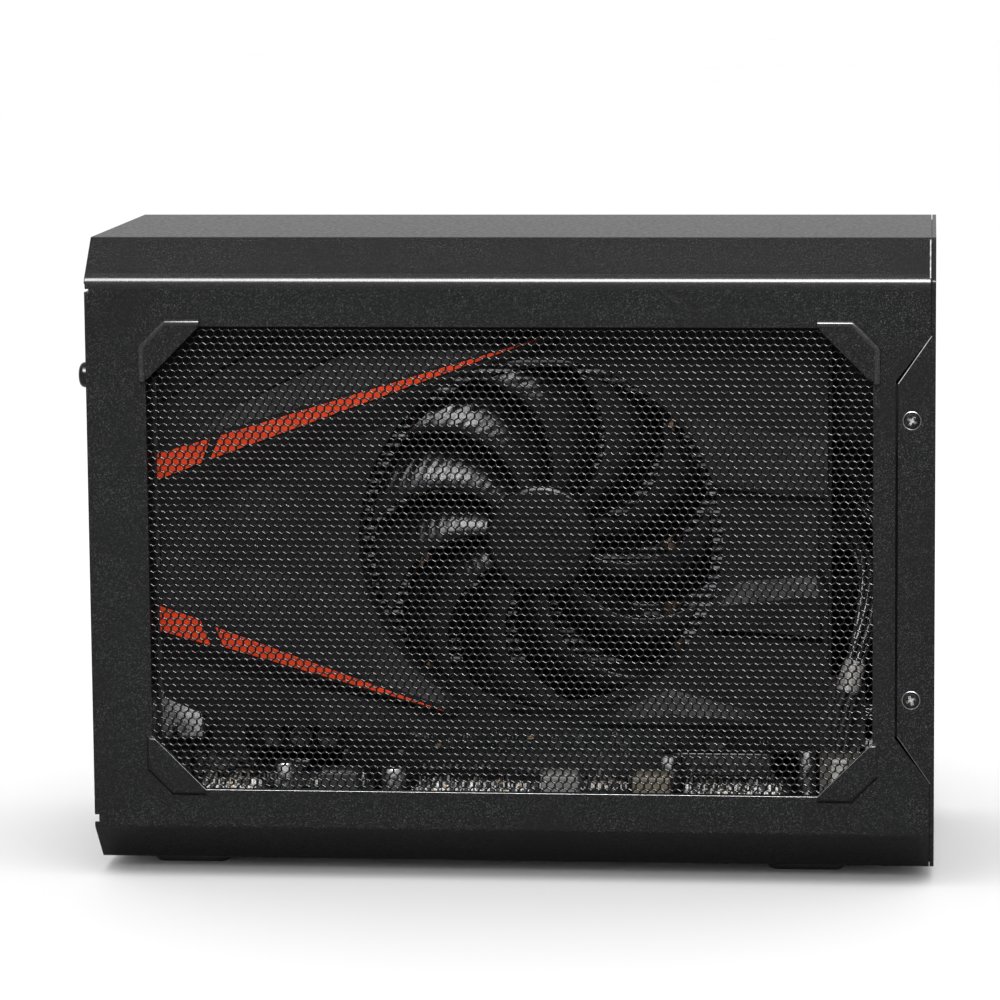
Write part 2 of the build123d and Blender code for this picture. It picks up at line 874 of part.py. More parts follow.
# Two bent heat pipes, one turned over the top of the fins and one under them
with BuildPart() as heat_pipes:
    bends = (fin_high + pipe_rise, fin_low - pipe_rise)
    starts = (fan_z - base_height / 2, fan_z + base_height / 2)
    ends = (fin_low, fin_high)
    for pipe_offset, bend, start, end in zip(pipe_offsets, bends, starts, ends):
        with BuildLine(Plane.YZ.offset(fan_x + pipe_offset)) as pipe_route:
            FilletPolyline(
                (pipe_inner, start),
                (pipe_inner, bend),
                (pipe_outer, bend),
                (pipe_outer, end),
                radius=pipe_bend_radius,
            )
        with BuildSketch(Plane(origin=pipe_route.line @ 0, z_dir=pipe_route.line % 0)):
            Circle(pipe_diameter / 2)
        sweep()

# Fan carrier: stator boss on four arms whose legs stand on the back of the shroud
with BuildPart() as fan_mount:
    with BuildSketch(card_plane(mount_back)):
        Circle(stator_diameter / 2 + mount_thickness)
        with PolarLocations(0, 4, start_angle=45):
            Rectangle(mount_leg_reach, mount_arm_width, align=(Align.MIN, Align.CENTER))
        with PolarLocations(mount_leg_reach, 4, start_angle=45):
            Circle(mount_leg_diameter / 2)
    extrude(amount=mount_thickness)
    with BuildSketch(card_plane(mount_front)):
        with PolarLocations(mount_leg_reach, 4, start_angle=45):
            Circle(mount_leg_diameter / 2)
    extrude(amount=mount_front - shroud_back)
    with BuildSketch(card_plane(mount_front)):
        Circle(stator_diameter / 2)
    extrude(amount=stator_height)
    with BuildSketch(card_plane(mount_back)):
        Circle(fan_shaft_diameter / 2 + fan_bore_play)
    extrude(amount=mount_thickness + stator_height, mode=Mode.SUBTRACT)


def swept_blade(plane, root, tip, chords, pitches, sweep_angle, thickness):
    """Blade about the plane's normal, lofted through sections that turn and sweep outwards."""
    with BuildPart() as blade:
        for share in blade_shares:
            radius = root + share * (tip - root)
            swept = sweep_angle * share**fan_sweep_power
            outward = plane.x_dir.rotate(Axis((0, 0, 0), plane.z_dir), swept)
            across = plane.z_dir.cross(outward)
            with BuildSketch(Plane(origin=plane.origin + outward * radius, x_dir=across, z_dir=outward)):
                Rectangle(
                    chords[0] + share * (chords[1] - chords[0]),
                    thickness,
                    rotation=pitches[0] + share * (pitches[1] - pitches[0]),
                )
        loft()
    return blade.part


# Card fan: open cup hub with swept blades
fan_blade = swept_blade(
    card_plane((fan_front + fan_hub_back) / 2),
    (fan_hub_diameter - fan_hub_wall) / 2,
    fan_tip_reach,
    (fan_root_chord, fan_tip_chord),
    (fan_root_pitch, fan_tip_pitch),
    fan_blade_sweep,
    fan_blade_thickness,
)
with BuildPart() as fan_rotor:
    with BuildSketch(card_plane(fan_hub_back)):
        Circle(fan_hub_diameter / 2)
    extrude(amount=fan_hub_depth)
    fillet(fan_rotor.edges().filter_by(GeomType.CIRCLE).sort_by(Axis.Y)[0], fan_hub_wall)
    with BuildSketch(card_plane(fan_hub_back)):
        Circle(fan_hub_diameter / 2 - fan_hub_wall)
    extrude(amount=fan_hub_depth - fan_hub_wall, mode=Mode.SUBTRACT)
    for turn in range(fan_blades):
        add(fan_blade.rotate(Axis((fan_x, 0, fan_z), (0, 1, 0)), turn * 360 / fan_blades))

with BuildPart() as fan_shaft:
    with BuildSketch(card_plane(mount_back - fit_gap)):
        Circle(fan_shaft_diameter / 2)
    extrude(amount=mount_back - fit_gap - fan_front - fan_hub_wall)

# Shroud outline and ridges, drawn about the fan axis
shroud_left = card_rear - fan_x
shroud_right = card_front - fan_x
shroud_bottom = shroud_low - fan_z
shroud_top = shroud_high - fan_z
upper_base = ((-96.7, 24), (-96.7, 3), (5, 49), (5, 53.5), (-41, 51.5))
upper_crest = ((-96.7, 23.1), (-96.7, 14.1), (4, 51.3), (4, 52.9), (-41, 39.6))
lower_base = ((-96.7, -3), (-46.3, -13), (-21, -42.5), (-21, -45), (-96.7, -31.5))
lower_crest = ((-96.7, -16.5), (-59, -29.8), (-23, -42.6), (-23, -44.2), (-96.7, -24.3))
right_base = ((36.3, 31.5), (72.3, 25.5), (72.3, 11), (45, 13))
right_crest = ((44, 15), (72.3, 13), (72.3, 11.5), (45.5, 13.7))
step_base = ((50.4, -10), (69.3, -8.7), (71.3, -25.5), (42, -23.5))
step_crest = ((44.7, -16.1), (70.3, -13.1), (70.3, -23.5), (45, -22))
toe_base = ((12, -47), (32.6, -37.7), (56.7, -44.1), (58, -47))
toe_crest = ((18, -46.4), (33, -43.5), (54, -45.5), (55, -46.4))


def on_shroud(points):
    """Drawn points of a ridge or strip, brought to the shroud's own size."""
    stretch_left = shroud_left / drawn_left
    stretch_right = shroud_right / drawn_right
    rise = shroud_height / drawn_height
    return [(x * (stretch_right if x > 0 else stretch_left), z * rise) for x, z in points]


facets = (
    (upper_base, upper_crest),
    (lower_base, lower_crest),
    (right_base, right_crest),
    (step_base, step_crest),
    (toe_base, toe_crest),
)
crest_face = -shroud_face - facet_height

# Shroud: faceted front, shallow skirt, ring around the fan and posts on the fins
with BuildPart() as fan_shroud:
    with BuildSketch(card_plane(-shroud_face)) as shroud_outline:
        with BuildLine():
            Polyline(
                (shroud_left, shroud_top),
                (shroud_right - shroud_corner, shroud_top),
                (shroud_right, shroud_top - shroud_corner),
                (shroud_right, waist_top),
                (shroud_right - waist_depth, waist_top - 2 * waist_depth),
                (shroud_right - waist_depth, waist_bottom + 2 * waist_depth),
                (shroud_right, waist_bottom),
                (shroud_right, shroud_bottom + shroud_corner),
                (shroud_right - shroud_corner, shroud_bottom),
                (shroud_left + shroud_heel[0], shroud_bottom),
                (shroud_left, shroud_bottom + shroud_heel[1]),
                close=True,
            )
        make_face()
    extrude(amount=-shroud_skirt)
    with BuildSketch(card_plane(shroud_back)):
        add(shroud_outline.sketch_local)
        offset(amount=-shroud_wall, kind=Kind.INTERSECTION, mode=Mode.REPLACE)
    extrude(amount=-shroud_skirt, mode=Mode.SUBTRACT)
    cut(
        (card_rear - sheet, card_rear + shroud_skirt_start),
        (shroud_back, 0),
        (shroud_low - sheet, shroud_high + sheet),
    )
    for base, crest in facets:
        with BuildSketch(card_plane(-shroud_face)):
            with BuildLine():
                Polyline(*on_shroud(base), close=True)
            make_face()
        with BuildSketch(card_plane(crest_face)):
            with BuildLine():
                Polyline(*on_shroud(crest), close=True)
            make_face()
        loft(ruled=True)
    with BuildSketch(card_plane(shroud_back)):
        Circle(fan_opening / 2 + ring_wall)
    extrude(amount=-ring_depth)
    with BuildSketch(card_plane(shroud_back + ring_depth)):
        Circle(fan_opening / 2)
    extrude(amount=shroud_face + facet_height, mode=Mode.SUBTRACT)
    post_points = [
        (x - fan_x, z - fan_z)
        for x in (fin_rear + post_diameter, fin_front - post_diameter)
        for z in (fin_low + post_diameter, fin_high - post_diameter)
    ]
    with BuildSketch(card_plane(shroud_back)):
        with Locations(*post_points):
            Circle(post_diameter / 2)
    extrude(amount=shroud_back - fin_tip)

# Four coloured strips on the crests of the two long ridges
accents = (
    ((-96.7, 21.8), (-96.7, 15.2), (-85.4, 19.6), (-82.9, 25.9)),
    ((-83.2, 20.5), (-80.4, 26.6), (3.3, 52.3)),
    ((-96.7, -17.1), (-96.7, -23.4), (-83.8, -27.1), (-86.4, -20.5)),
    ((-82.5, -22.4), (-80.4, -27.5), (-24.4, -43.4)),
)
with BuildPart() as shroud_accents:
    with BuildSketch(card_plane(crest_face)):
        for corners in accents:
            with BuildLine():
                Polyline(*on_shroud(corners), close=True)
            make_face()
    extrude(amount=accent_thickness)

# Carrier board on six standoffs
carrier_rear = panel_inner + board_rear_gap
carrier_front = front - sheet - carrier_front_gap
board_xs = (
    carrier_rear + standoff_rear,
    (carrier_rear + carrier_front) / 2,
    carrier_front - standoff_inset,
)
board_ys = around(0, 2 * (carrier_half_width - standoff_edge))
board_points = [(x, y) for x in board_xs for y in board_ys]
board_seats = [seat(x, y, carrier_top, (0, 0, 1)) for x, y in board_points]
header_x = carrier_front - header_front_gap


def board_x(drawn_x):
    """Place along the carrier board, brought to the board's own length."""
    stretch = (carrier_front - carrier_rear) / drawn_board_length
    return (carrier_rear + carrier_front) / 2 + (drawn_x - drawn_board_middle) * stretch


with BuildPart() as carrier_board:
    block(
        (carrier_rear, carrier_front),
        (-carrier_half_width, carrier_half_width),
        (carrier_height, carrier_top),
    )
    with Locations(*board_seats):
        Hole(pan_shank_diameter / 2 + screw_play, depth=2 * board_sheet)

with BuildPart() as board_standoffs:
    with BuildSketch(Plane.XY.offset(tray_top)):
        with Locations(*board_points):
            Circle(standoff_diameter / 2)
    extrude(amount=carrier_height - tray_top)
    with Locations(*board_seats):
        Hole(pan_shank_diameter / 2 + screw_play, depth=pan_screw_length + screw_play)

with BuildPart() as board_screws:
    with Locations(*board_seats):
        add(pan_screw.part)

# Card slot: long body with a keyed groove for the edge fingers
with BuildPart() as card_slot:
    finger_rear = card_rear + finger_start
    finger_front = finger_rear + finger_length
    slot_y = (card_face + card_back) / 2
    slot_top = carrier_top + slot_height
    groove = around(slot_y, board_sheet + slot_groove_play)
    groove_z = (slot_top - slot_groove_depth, slot_top + sheet)
    key_x = card_rear + key_start
    block(
        (finger_rear - slot_overhang, finger_front + slot_overhang),
        around(slot_y, slot_width),
        (carrier_top, slot_top),
    )
    cut((finger_rear - slot_groove_play, key_x + slot_groove_play), groove, groove_z)
    cut((key_x + key_width - slot_groove_play, finger_front + slot_groove_play), groove, groove_z)

# Sockets on the rear edge of the carrier board
with BuildPart() as usb_sockets:
    usb_mouth = panel_outer - usb_reach
    for usb_y in usb_ys:
        block(
            (usb_mouth, usb_mouth + usb_depth),
            around(usb_y, usb_width),
            (carrier_top, carrier_top + usb_height),
        )
        for level in usb_port_levels:
            port_z = carrier_top + level * usb_height
            cut(
                (usb_mouth, usb_mouth + usb_depth - 2 * sheet),
                around(usb_y, usb_width - 2 * socket_wall),
                around(port_z, usb_port_height),
            )
            block(
                (usb_mouth + sheet, usb_mouth + usb_depth - sheet),
                around(usb_y, usb_width - 4 * socket_wall),
                (port_z + tongue_thickness / 2, port_z + tongue_thickness * 1.5),
            )

with BuildPart() as host_socket:
    with BuildSketch(Plane.YZ.offset(panel_outer - usb_reach)):
        with Locations((host_y, carrier_top + host_height / 2)):
            SlotOverall(host_height, host_width, rotation=90)
    extrude(amount=host_depth)
    with BuildSketch(Plane.YZ.offset(panel_outer - usb_reach)):
        with Locations((host_y, carrier_top + host_height / 2)):
            SlotOverall(host_height - host_wall, host_width - host_wall, rotation=90)
    extrude(amount=host_depth - sheet, mode=Mode.SUBTRACT)
    block(
        (panel_outer - usb_reach + sheet, panel_outer - usb_reach + host_depth - sheet / 2),
        around(host_y, host_wall),
        around(carrier_top + host_height / 2, host_height - host_width - sheet),
    )

# Parts that stand on the carrier board
with BuildPart() as carrier_capacitors:
    for x, y, diameter, height in capacitor_places:
        with BuildSketch(Plane.XY.offset(carrier_top)):
            with Locations((board_x(x), y)):
                Circle(diameter / 2)
        extrude(amount=height)

with BuildPart() as carrier_chokes:
    for x, y in choke_places:
        choke = block(
            around(board_x(x), choke_length),
            around(y, choke_width),
            (carrier_top, carrier_top + choke_height),
        )
        chamfer(choke.edges().filter_by(Axis.Z), choke_corner)

with BuildPart() as carrier_chips:
    for x, y, length, width in chip_places:
        block(
            around(board_x(x), length),
            around(y, width),
            (carrier_top, carrier_top + board_chip_height),
        )

with BuildPart() as bridge_heatsink:
    with BuildSketch(Plane.YZ.offset(board_x(bridge_x) - bridge_length / 2)):
        with Locations((bridge_y, carrier_top + bridge_base / 2)):
            Rectangle(bridge_width, bridge_base)
        with Locations((bridge_y, carrier_top + bridge_height / 2)):
            with GridLocations(bridge_pitch, 0, bridge_fins, 1):
                Rectangle(bridge_fin, bridge_height)
    extrude(amount=bridge_length)

with BuildPart() as board_power_header:
    block(around(header_x, header_length), around(header_y, header_width), (carrier_top, header_top))

# Power socket at the lower front corner of the card, and the plug that sits in its mouth
socket_front = card_front
with BuildPart() as card_power_socket:
    block(
        (socket_front - power_socket_depth, socket_front),
        (card_face - power_socket_width, card_face),
        around(power_socket_z, power_socket_length),
    )
with BuildPart() as card_power_plug:
    block(
        (socket_front, socket_front + power_plug_depth),
        around(card_face - power_socket_width / 2, power_socket_width - 2 * socket_play),
        around(power_socket_z, power_socket_length - 2 * socket_play),
    )

# Power supply: closed case with a pocket at its rear end for the fan and the mains inlet
supply_span = (supply_near, supply_far)
with BuildPart() as power_supply_case:
    block((panel_inner, supply_front), supply_span, (supply_bottom, supply_top))
    cut(
        (panel_inner + supply_wall, panel_inner + supply_pocket),
        (supply_near + supply_wall, supply_far - supply_wall),
        (supply_bottom + supply_wall, supply_top - supply_wall),
    )
    with BuildSketch(Plane.YZ.offset(panel_inner)):
        for step in range(-grille_half_count, grille_half_count + 1):
            reach = supply_fan_bore / 2 - grille_margin
            bar_y = step * grille_pitch
            with Locations((supply_y + bar_y, supply_fan_z)):
                SlotOverall(2 * sqrt(reach**2 - bar_y**2), grille_slot, rotation=90)
        with Locations((supply_y, inlet_z)):
            Rectangle(inlet_body_width + 2 * socket_play, inlet_body_length + 2 * socket_play)
    extrude(amount=supply_wall, mode=Mode.SUBTRACT)
    with Locations(*supply_seats):
        Hole(pan_shank_diameter / 2 + screw_play, depth=pan_screw_length + screw_play)

# Mains inlet: flange, body and a socket cavity with two cut corners
inlet_mouth = panel_inner - inlet_flange
with BuildPart() as mains_inlet:
    with BuildSketch(Plane.YZ.offset(inlet_mouth)):
        with Locations((supply_y, inlet_z)):
            RectangleRounded(inlet_width, inlet_length, inlet_flange)
    extrude(amount=inlet_flange)
    block(
        (panel_inner, panel_inner + inlet_depth),
        around(supply_y, inlet_body_width),
        around(inlet_z, inlet_body_length),
    )
    with BuildSketch(Plane.YZ.offset(inlet_mouth)) as cavity:
        with Locations((supply_y, inlet_z)):
            Rectangle(inlet_cavity_width, inlet_cavity_length)
        chamfer(cavity.vertices().group_by(Axis.X)[0], inlet_corner)
    extrude(amount=inlet_depth, mode=Mode.SUBTRACT)

with BuildPart() as inlet_pins:
    pin_floor = inlet_mouth + inlet_depth
    for pin_y, pin_z in ((pin_shift, pin_spacing), (pin_shift, -pin_spacing), (-pin_shift, 0)):
        block(
            (inlet_mouth + pin_recess, pin_floor),
            around(supply_y + pin_y, pin_width),
            around(inlet_z + pin_z, pin_thickness),
        )

# Supply fan: square frame with a stator on three arms, and its rotor
supply_fan_rear = panel_inner + supply_wall
supply_fan_front = supply_fan_rear + supply_fan_depth
with BuildPart() as supply_fan_frame:
    with BuildSketch(Plane.YZ.offset(supply_fan_rear)):
        with Locations((supply_y, supply_fan_z)):
            Rectangle(supply_fan_size, supply_fan_size)
            Circle(supply_fan_bore / 2, mode=Mode.SUBTRACT)
    extrude(amount=supply_fan_depth)
    with BuildSketch(Plane.YZ.offset(supply_fan_front - mount_thickness)):
        with Locations((supply_y, supply_fan_z)):
            Circle(supply_stator_diameter / 2)
            with PolarLocations(0, 3):
                Rectangle(supply_fan_bore / 2 + sheet, supply_arm_width, align=(Align.MIN, Align.CENTER))
    extrude(amount=mount_thickness)
    with BuildSketch(Plane.YZ.offset(supply_fan_front)):
        with Locations((supply_y, supply_fan_z)):
            Circle(supply_shaft_diameter / 2 + fan_bore_play)
    extrude(amount=-mount_thickness, mode=Mode.SUBTRACT)
    with Locations(*supply_seats):
        Hole(pan_shank_diameter / 2 + screw_play, depth=pan_screw_length + screw_play)

supply_hub_front = supply_fan_front - mount_thickness - supply_fan_gap
supply_hub_rear = supply_fan_rear + supply_fan_gap
supply_axis = Plane(
    origin=((supply_hub_front + supply_hub_rear) / 2, supply_y, supply_fan_z),
    x_dir=(0, -1, 0),
    z_dir=(-1, 0, 0),
)
supply_blade = swept_blade(
    supply_axis,
    supply_hub_diameter / 2 - sheet,
    supply_tip_reach,
    (supply_root_chord, supply_tip_chord),
    (fan_root_pitch, fan_tip_pitch),
    fan_blade_sweep,
    fan_blade_thickness,
)
with BuildPart() as supply_fan_rotor:
    with BuildSketch(Plane.YZ.offset(supply_hub_rear)):
        with Locations((supply_y, supply_fan_z)):
            Circle(supply_hub_diameter / 2)
    extrude(amount=supply_hub_front - supply_hub_rear)
    with BuildSketch(Plane.YZ.offset(supply_hub_front)):
        with Locations((supply_y, supply_fan_z)):
            Circle(supply_shaft_diameter / 2)
    extrude(amount=supply_fan_gap + mount_thickness)
    for turn in range(supply_fan_blades):
        angle = turn * 360 / supply_fan_blades
        add(supply_blade.rotate(Axis((0, supply_y, supply_fan_z), (1, 0, 0)), angle))

# Shelf that carries the front of the supply on a leg to the tray, with a guard beside the leads
with BuildPart() as supply_shelf:
    shelf_front = carrier_front + shelf_front_gap
    block(
        (supply_front - shelf_length, shelf_front),
        (supply_near + sheet, supply_far - sheet),
        (supply_bottom - tray_sheet, supply_bottom),
    )
    block(
        (shelf_front - tray_sheet, shelf_front),
        (supply_near + sheet, tray_half),
        (tray_top, supply_bottom),
    )
    block(
        (supply_front + sheet, shelf_front),
        (supply_far - sheet - tray_sheet, supply_far - sheet),
        (window_low - guard_low_gap, supply_top),
    )


def lead(points, diameter):
    """Tube along straight runs joined by arcs as large as the runs allow."""
    corners = [Vector(*point) for point in points]
    runs = [after - before for before, after in zip(corners, corners[1:])]
    shares = [lead_end_share] + [lead_run_share] * (len(runs) - 2) + [lead_end_share]
    reaches = [share * run.length for share, run in zip(shares, runs)]
    radii = []
    for before, after, reach_in, reach_out in zip(runs, runs[1:], reaches, reaches[1:]):
        half_turn = before.get_angle(after) / 2
        radii.append(min(reach_in, reach_out) / tan(radians(half_turn)))
    print("arc radii", [round(radius, 1) for radius in radii])
    with BuildPart() as tube:
        with BuildLine() as route:
            FilletPolyline(*points, radius=radii)
        with BuildSketch(Plane(origin=route.line @ 0, z_dir=route.line % 0)):
            Circle(diameter / 2)
        sweep()
    return tube


# Leads from the supply to the card's plug and to the carrier board's header
plug_front = socket_front + power_plug_depth
plug_y = card_face - power_socket_width / 2
card_lead_z = supply_bottom + card_lead_rise
card_rise = card_lead_z - power_socket_z
card_lead_zs = [power_socket_z + share * card_rise for share in card_lead_shares]
card_power_lead = lead(
    (
        (plug_front, plug_y, power_socket_z),
        (plug_front + 11, plug_y, power_socket_z),
        (plug_front + 12, plug_y, card_lead_zs[0]),
        (plug_front + 10, plug_y + 1, card_lead_zs[1]),
        (plug_front + 4, plug_y + 7, card_lead_zs[2]),
        (plug_front - 9, plug_y + 15, card_lead_zs[3]),
        (supply_front + 9, plug_y + 22, card_lead_z),
        (supply_front, plug_y + 22, card_lead_z),
    ),
    lead_diameter,
)
supply_lead_z = supply_bottom + supply_lead_rise
supply_drop = supply_lead_z - header_top
supply_lead_zs = [header_top + share * supply_drop for share in supply_lead_shares]
supply_lead = lead(
    (
        (supply_front, supply_near + 9, supply_lead_z),
        (supply_front + 9, supply_near + 9, supply_lead_z),
        (supply_front + 23, supply_near + 4.4, supply_lead_z - 1),
        (header_x + 7, header_y + 19, supply_lead_zs[0]),
        (header_x + 7, header_y + 10, supply_lead_zs[1]),
        (header_x + 3, header_y + 2, supply_lead_zs[2]),
        (header_x, header_y, header_top + 10),
        (header_x, header_y, header_top),
    ),
    lead_diameter,
)

pieces = {
    "outer_sleeve": outer_sleeve,
    "fan_side_mesh": fan_side_mesh,
    "far_side_mesh": far_side_mesh,
    "front_panel": front_panel,
    "base_tray": base_tray,
    "rear_panel": rear_panel,
    "front_panel_screws": front_panel_screws,
    "rear_screws": rear_screws,
    "bracket_screws": bracket_screws,
    "supply_screws": supply_screws,
    "rubber_feet": rubber_feet,
    "graphics_board": graphics_board,
    "card_bracket": card_bracket,
    "stacked_video_sockets": stacked_video_sockets,
    "slim_video_sockets": slim_video_sockets,
    "main_chip": main_chip,
    "memory_chips": memory_chips,
    "card_choke": card_choke,
    "card_capacitors": card_capacitors,
    "heatsink": heatsink,
    "heat_pipes": heat_pipes,
    "fan_mount": fan_mount,
    "fan_rotor": fan_rotor,
    "fan_shaft": fan_shaft,
    "fan_shroud": fan_shroud,
    "shroud_accents": shroud_accents,
    "carrier_board": carrier_board,
    "board_standoffs": board_standoffs,
    "board_screws": board_screws,
    "card_slot": card_slot,
    "usb_sockets": usb_sockets,
    "host_socket": host_socket,
    "carrier_capacitors": carrier_capacitors,
    "carrier_chokes": carrier_chokes,
    "carrier_chips": carrier_chips,
    "bridge_heatsink": bridge_heatsink,
    "board_power_header": board_power_header,
    "card_power_socket": card_power_socket,
    "card_power_plug": card_power_plug,
    "power_supply_case": power_supply_case,
    "mains_inlet": mains_inlet,
    "inlet_pins": inlet_pins,
    "supply_fan_frame": supply_fan_frame,
    "supply_fan_rotor": supply_fan_rotor,
    "supply_shelf": supply_shelf,
    "card_power_lead": card_power_lead,
    "supply_lead": supply_lead,
}

os.makedirs("parts", exist_ok=True)
for node, piece in pieces.items():
    piece.part.label = node
    export_step(piece.part, f"parts/{node}.step")
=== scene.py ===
import json
import math
import random

import bmesh
import bpy
from mathutils import Euler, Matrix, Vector


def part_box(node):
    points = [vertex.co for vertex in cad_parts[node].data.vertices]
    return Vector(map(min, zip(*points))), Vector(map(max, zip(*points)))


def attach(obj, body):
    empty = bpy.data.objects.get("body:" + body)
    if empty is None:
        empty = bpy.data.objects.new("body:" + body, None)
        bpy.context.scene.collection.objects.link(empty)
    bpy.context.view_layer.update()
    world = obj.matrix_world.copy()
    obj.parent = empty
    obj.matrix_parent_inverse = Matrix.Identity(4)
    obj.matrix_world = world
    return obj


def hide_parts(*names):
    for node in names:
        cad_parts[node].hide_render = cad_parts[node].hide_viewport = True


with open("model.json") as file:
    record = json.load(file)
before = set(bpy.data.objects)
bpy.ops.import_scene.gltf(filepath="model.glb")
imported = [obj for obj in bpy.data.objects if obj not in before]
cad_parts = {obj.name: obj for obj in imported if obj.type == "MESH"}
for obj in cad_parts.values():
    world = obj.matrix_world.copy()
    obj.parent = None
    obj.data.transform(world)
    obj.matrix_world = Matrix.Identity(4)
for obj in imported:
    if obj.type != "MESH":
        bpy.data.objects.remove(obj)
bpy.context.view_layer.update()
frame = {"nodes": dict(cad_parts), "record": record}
nodes = frame["nodes"]
scene = bpy.context.scene

MM = 0.001
rng = random.Random(7)


# Materials


class Shader:
    """A material under construction: its principled shader and short ways to add texture nodes."""

    NOISE_LOW, NOISE_HIGH = 0.3, 0.7

    def __init__(self, name, color, rough, metal=0.0, specular=0.5, coat=0.0, coat_rough=0.1):
        self.material = bpy.data.materials.new(name)
        self.material.use_nodes = True
        self.tree = self.material.node_tree
        self.bsdf = self.tree.nodes["Principled BSDF"]
        self.color = (*color, 1.0)
        self.rough = rough
        for socket, value in (
            ("Base Color", self.color),
            ("Roughness", rough),
            ("Metallic", metal),
            ("Specular IOR Level", specular),
            ("Coat Weight", coat),
            ("Coat Roughness", coat_rough),
        ):
            self.bsdf.inputs[socket].default_value = value
        self.place = self.add("ShaderNodeTexCoord").outputs["Object"]
        self.height = None

    def add(self, kind, **values):
        node = self.tree.nodes.new(kind)
        for key, value in values.items():
            setattr(node, key, value)
        return node

    def link(self, source, target):
        self.tree.links.new(source, target)

    def stretched(self, scale):
        mapping = self.add("ShaderNodeMapping")
        mapping.inputs["Scale"].default_value = scale
        self.link(self.place, mapping.inputs["Vector"])
        return mapping.outputs["Vector"]

    def noise(self, scale, detail=2.0, place=None):
        node = self.add("ShaderNodeTexNoise")
        node.inputs["Scale"].default_value = scale
        node.inputs["Detail"].default_value = detail
        self.link(place or self.place, node.inputs["Vector"])
        return node.outputs["Fac"]

    def cells(self, scale):
        node = self.add("ShaderNodeTexVoronoi")
        node.inputs["Scale"].default_value = scale
        self.link(self.place, node.inputs["Vector"])
        return node.outputs["Distance"]

    def spread(self, value, low, high, to_low, to_high):
        node = self.add("ShaderNodeMapRange")
        for name, number in (("From Min", low), ("From Max", high), ("To Min", to_low), ("To Max", to_high)):
            node.inputs[name].default_value = number
        self.link(value, node.inputs["Value"])
        return node.outputs["Result"]

    def vary_rough(self, noise, less, more):
        """Lets the roughness run from a little less to a little more with a noise."""
        varied = self.spread(noise, self.NOISE_LOW, self.NOISE_HIGH, self.rough - less, self.rough + more)
        self.link(varied, self.bsdf.inputs["Roughness"])

    def tint(self, value, color, low, high):
        """Blends the colour so far towards another where value runs from low to high."""
        mix = self.add("ShaderNodeMix", data_type="RGBA")
        self.link(self.spread(value, low, high, 0.0, 1.0), mix.inputs["Factor"])
        socket = self.bsdf.inputs["Base Color"]
        if socket.links:
            self.link(socket.links[0].from_socket, mix.inputs["A"])
        else:
            mix.inputs["A"].default_value = self.color
        mix.inputs["B"].default_value = (*color, 1.0)
        self.link(mix.outputs["Result"], socket)

    def bump(self, value, strength, distance):
        node = self.add("ShaderNodeBump")
        node.inputs["Strength"].default_value = strength
        node.inputs["Distance"].default_value = distance
        self.link(value, node.inputs["Height"])
        if self.height:
            self.link(self.height, node.inputs["Normal"])
        self.height = node.outputs["Normal"]
        self.link(self.height, self.bsdf.inputs["Normal"])


def scaled(color, factor):
    return tuple(c * factor for c in color)


def powder_coat(name, color, speck, rough=0.5, specular=0.03, coat=0.19, coat_rough=0.15, grain=0.2):
    """Textured black coat with a fine bright grain."""
    s = Shader(name, color, rough, specular=specular, coat=coat, coat_rough=coat_rough)
    s.tint(s.noise(scale=3700.0, detail=1.0), speck, low=0.55, high=0.8)
    s.tint(s.noise(scale=60.0, detail=3.0), scaled(color, 1.5), low=0.45, high=0.8)
    s.vary_rough(s.noise(scale=900.0, detail=3.0), less=0.1, more=0.12)
    s.bump(s.noise(scale=2300.0), strength=grain, distance=0.1 * MM)
    return s.material


def plated_sheet(name, color, rough=0.35):
    """Zinc plated steel with faint spangle and rolling marks."""
    s = Shader(name, color, rough, metal=1.0)
    along_roll = s.stretched((1.0, 0.05, 0.05))
    s.tint(s.cells(scale=160.0), scaled(color, 0.8), low=0.1, high=0.8)
    s.tint(s.noise(scale=900.0, place=along_roll), scaled(color, 0.7), low=0.5, high=0.75)
    s.vary_rough(s.noise(scale=220.0, detail=4.0), less=0.1, more=0.15)
    s.bump(s.noise(scale=1500.0), strength=0.15, distance=0.03 * MM)
    return s.material


def bright_metal(name, color, rough=0.22):
    """Machined or drawn metal with fine marks and small dull patches."""
    s = Shader(name, color, rough, metal=1.0)
    s.tint(s.noise(scale=300.0, detail=4.0), scaled(color, 0.65), low=0.5, high=0.75)
    s.vary_rough(s.noise(scale=700.0, detail=3.0), less=0.08, more=0.18)
    s.bump(s.noise(scale=2600.0), strength=0.2, distance=0.03 * MM)
    return s.material


def moulded(name, color, rough=0.45, grain=0.25, specular=0.5):
    """Injection moulded plastic or rubber with a light grain and faint handling marks."""
    handled = tuple(min(1.0, c * 1.35 + 0.004) for c in color)
    s = Shader(name, color, rough, specular=specular)
    s.tint(s.noise(scale=45.0, detail=4.0), handled, low=0.45, high=0.8)
    s.vary_rough(s.noise(scale=260.0, detail=4.0), less=0.08, more=0.1)
    s.bump(s.noise(scale=2000.0), strength=grain, distance=0.05 * MM)
    return s.material


def laminate(name, color, trace, rough=0.35):
    """Solder mask over traces and small vias."""
    s = Shader(name, color, rough)
    lines = s.add("ShaderNodeTexWave", wave_type="BANDS", bands_direction="DIAGONAL")
    for socket, value in (("Scale", 260.0), ("Distortion", 9.0), ("Detail", 1.0), ("Detail Scale", 0.35)):
        lines.inputs[socket].default_value = value
    s.link(s.place, lines.inputs["Vector"])
    s.tint(lines.outputs["Fac"], trace, low=0.78, high=0.9)
    s.tint(s.cells(scale=420.0), scaled(trace, 3.0), low=0.14, high=0.1)
    s.vary_rough(s.noise(scale=500.0), less=0.07, more=0.1)
    s.bump(lines.outputs["Fac"], strength=0.2, distance=0.03 * MM)
    return s.material


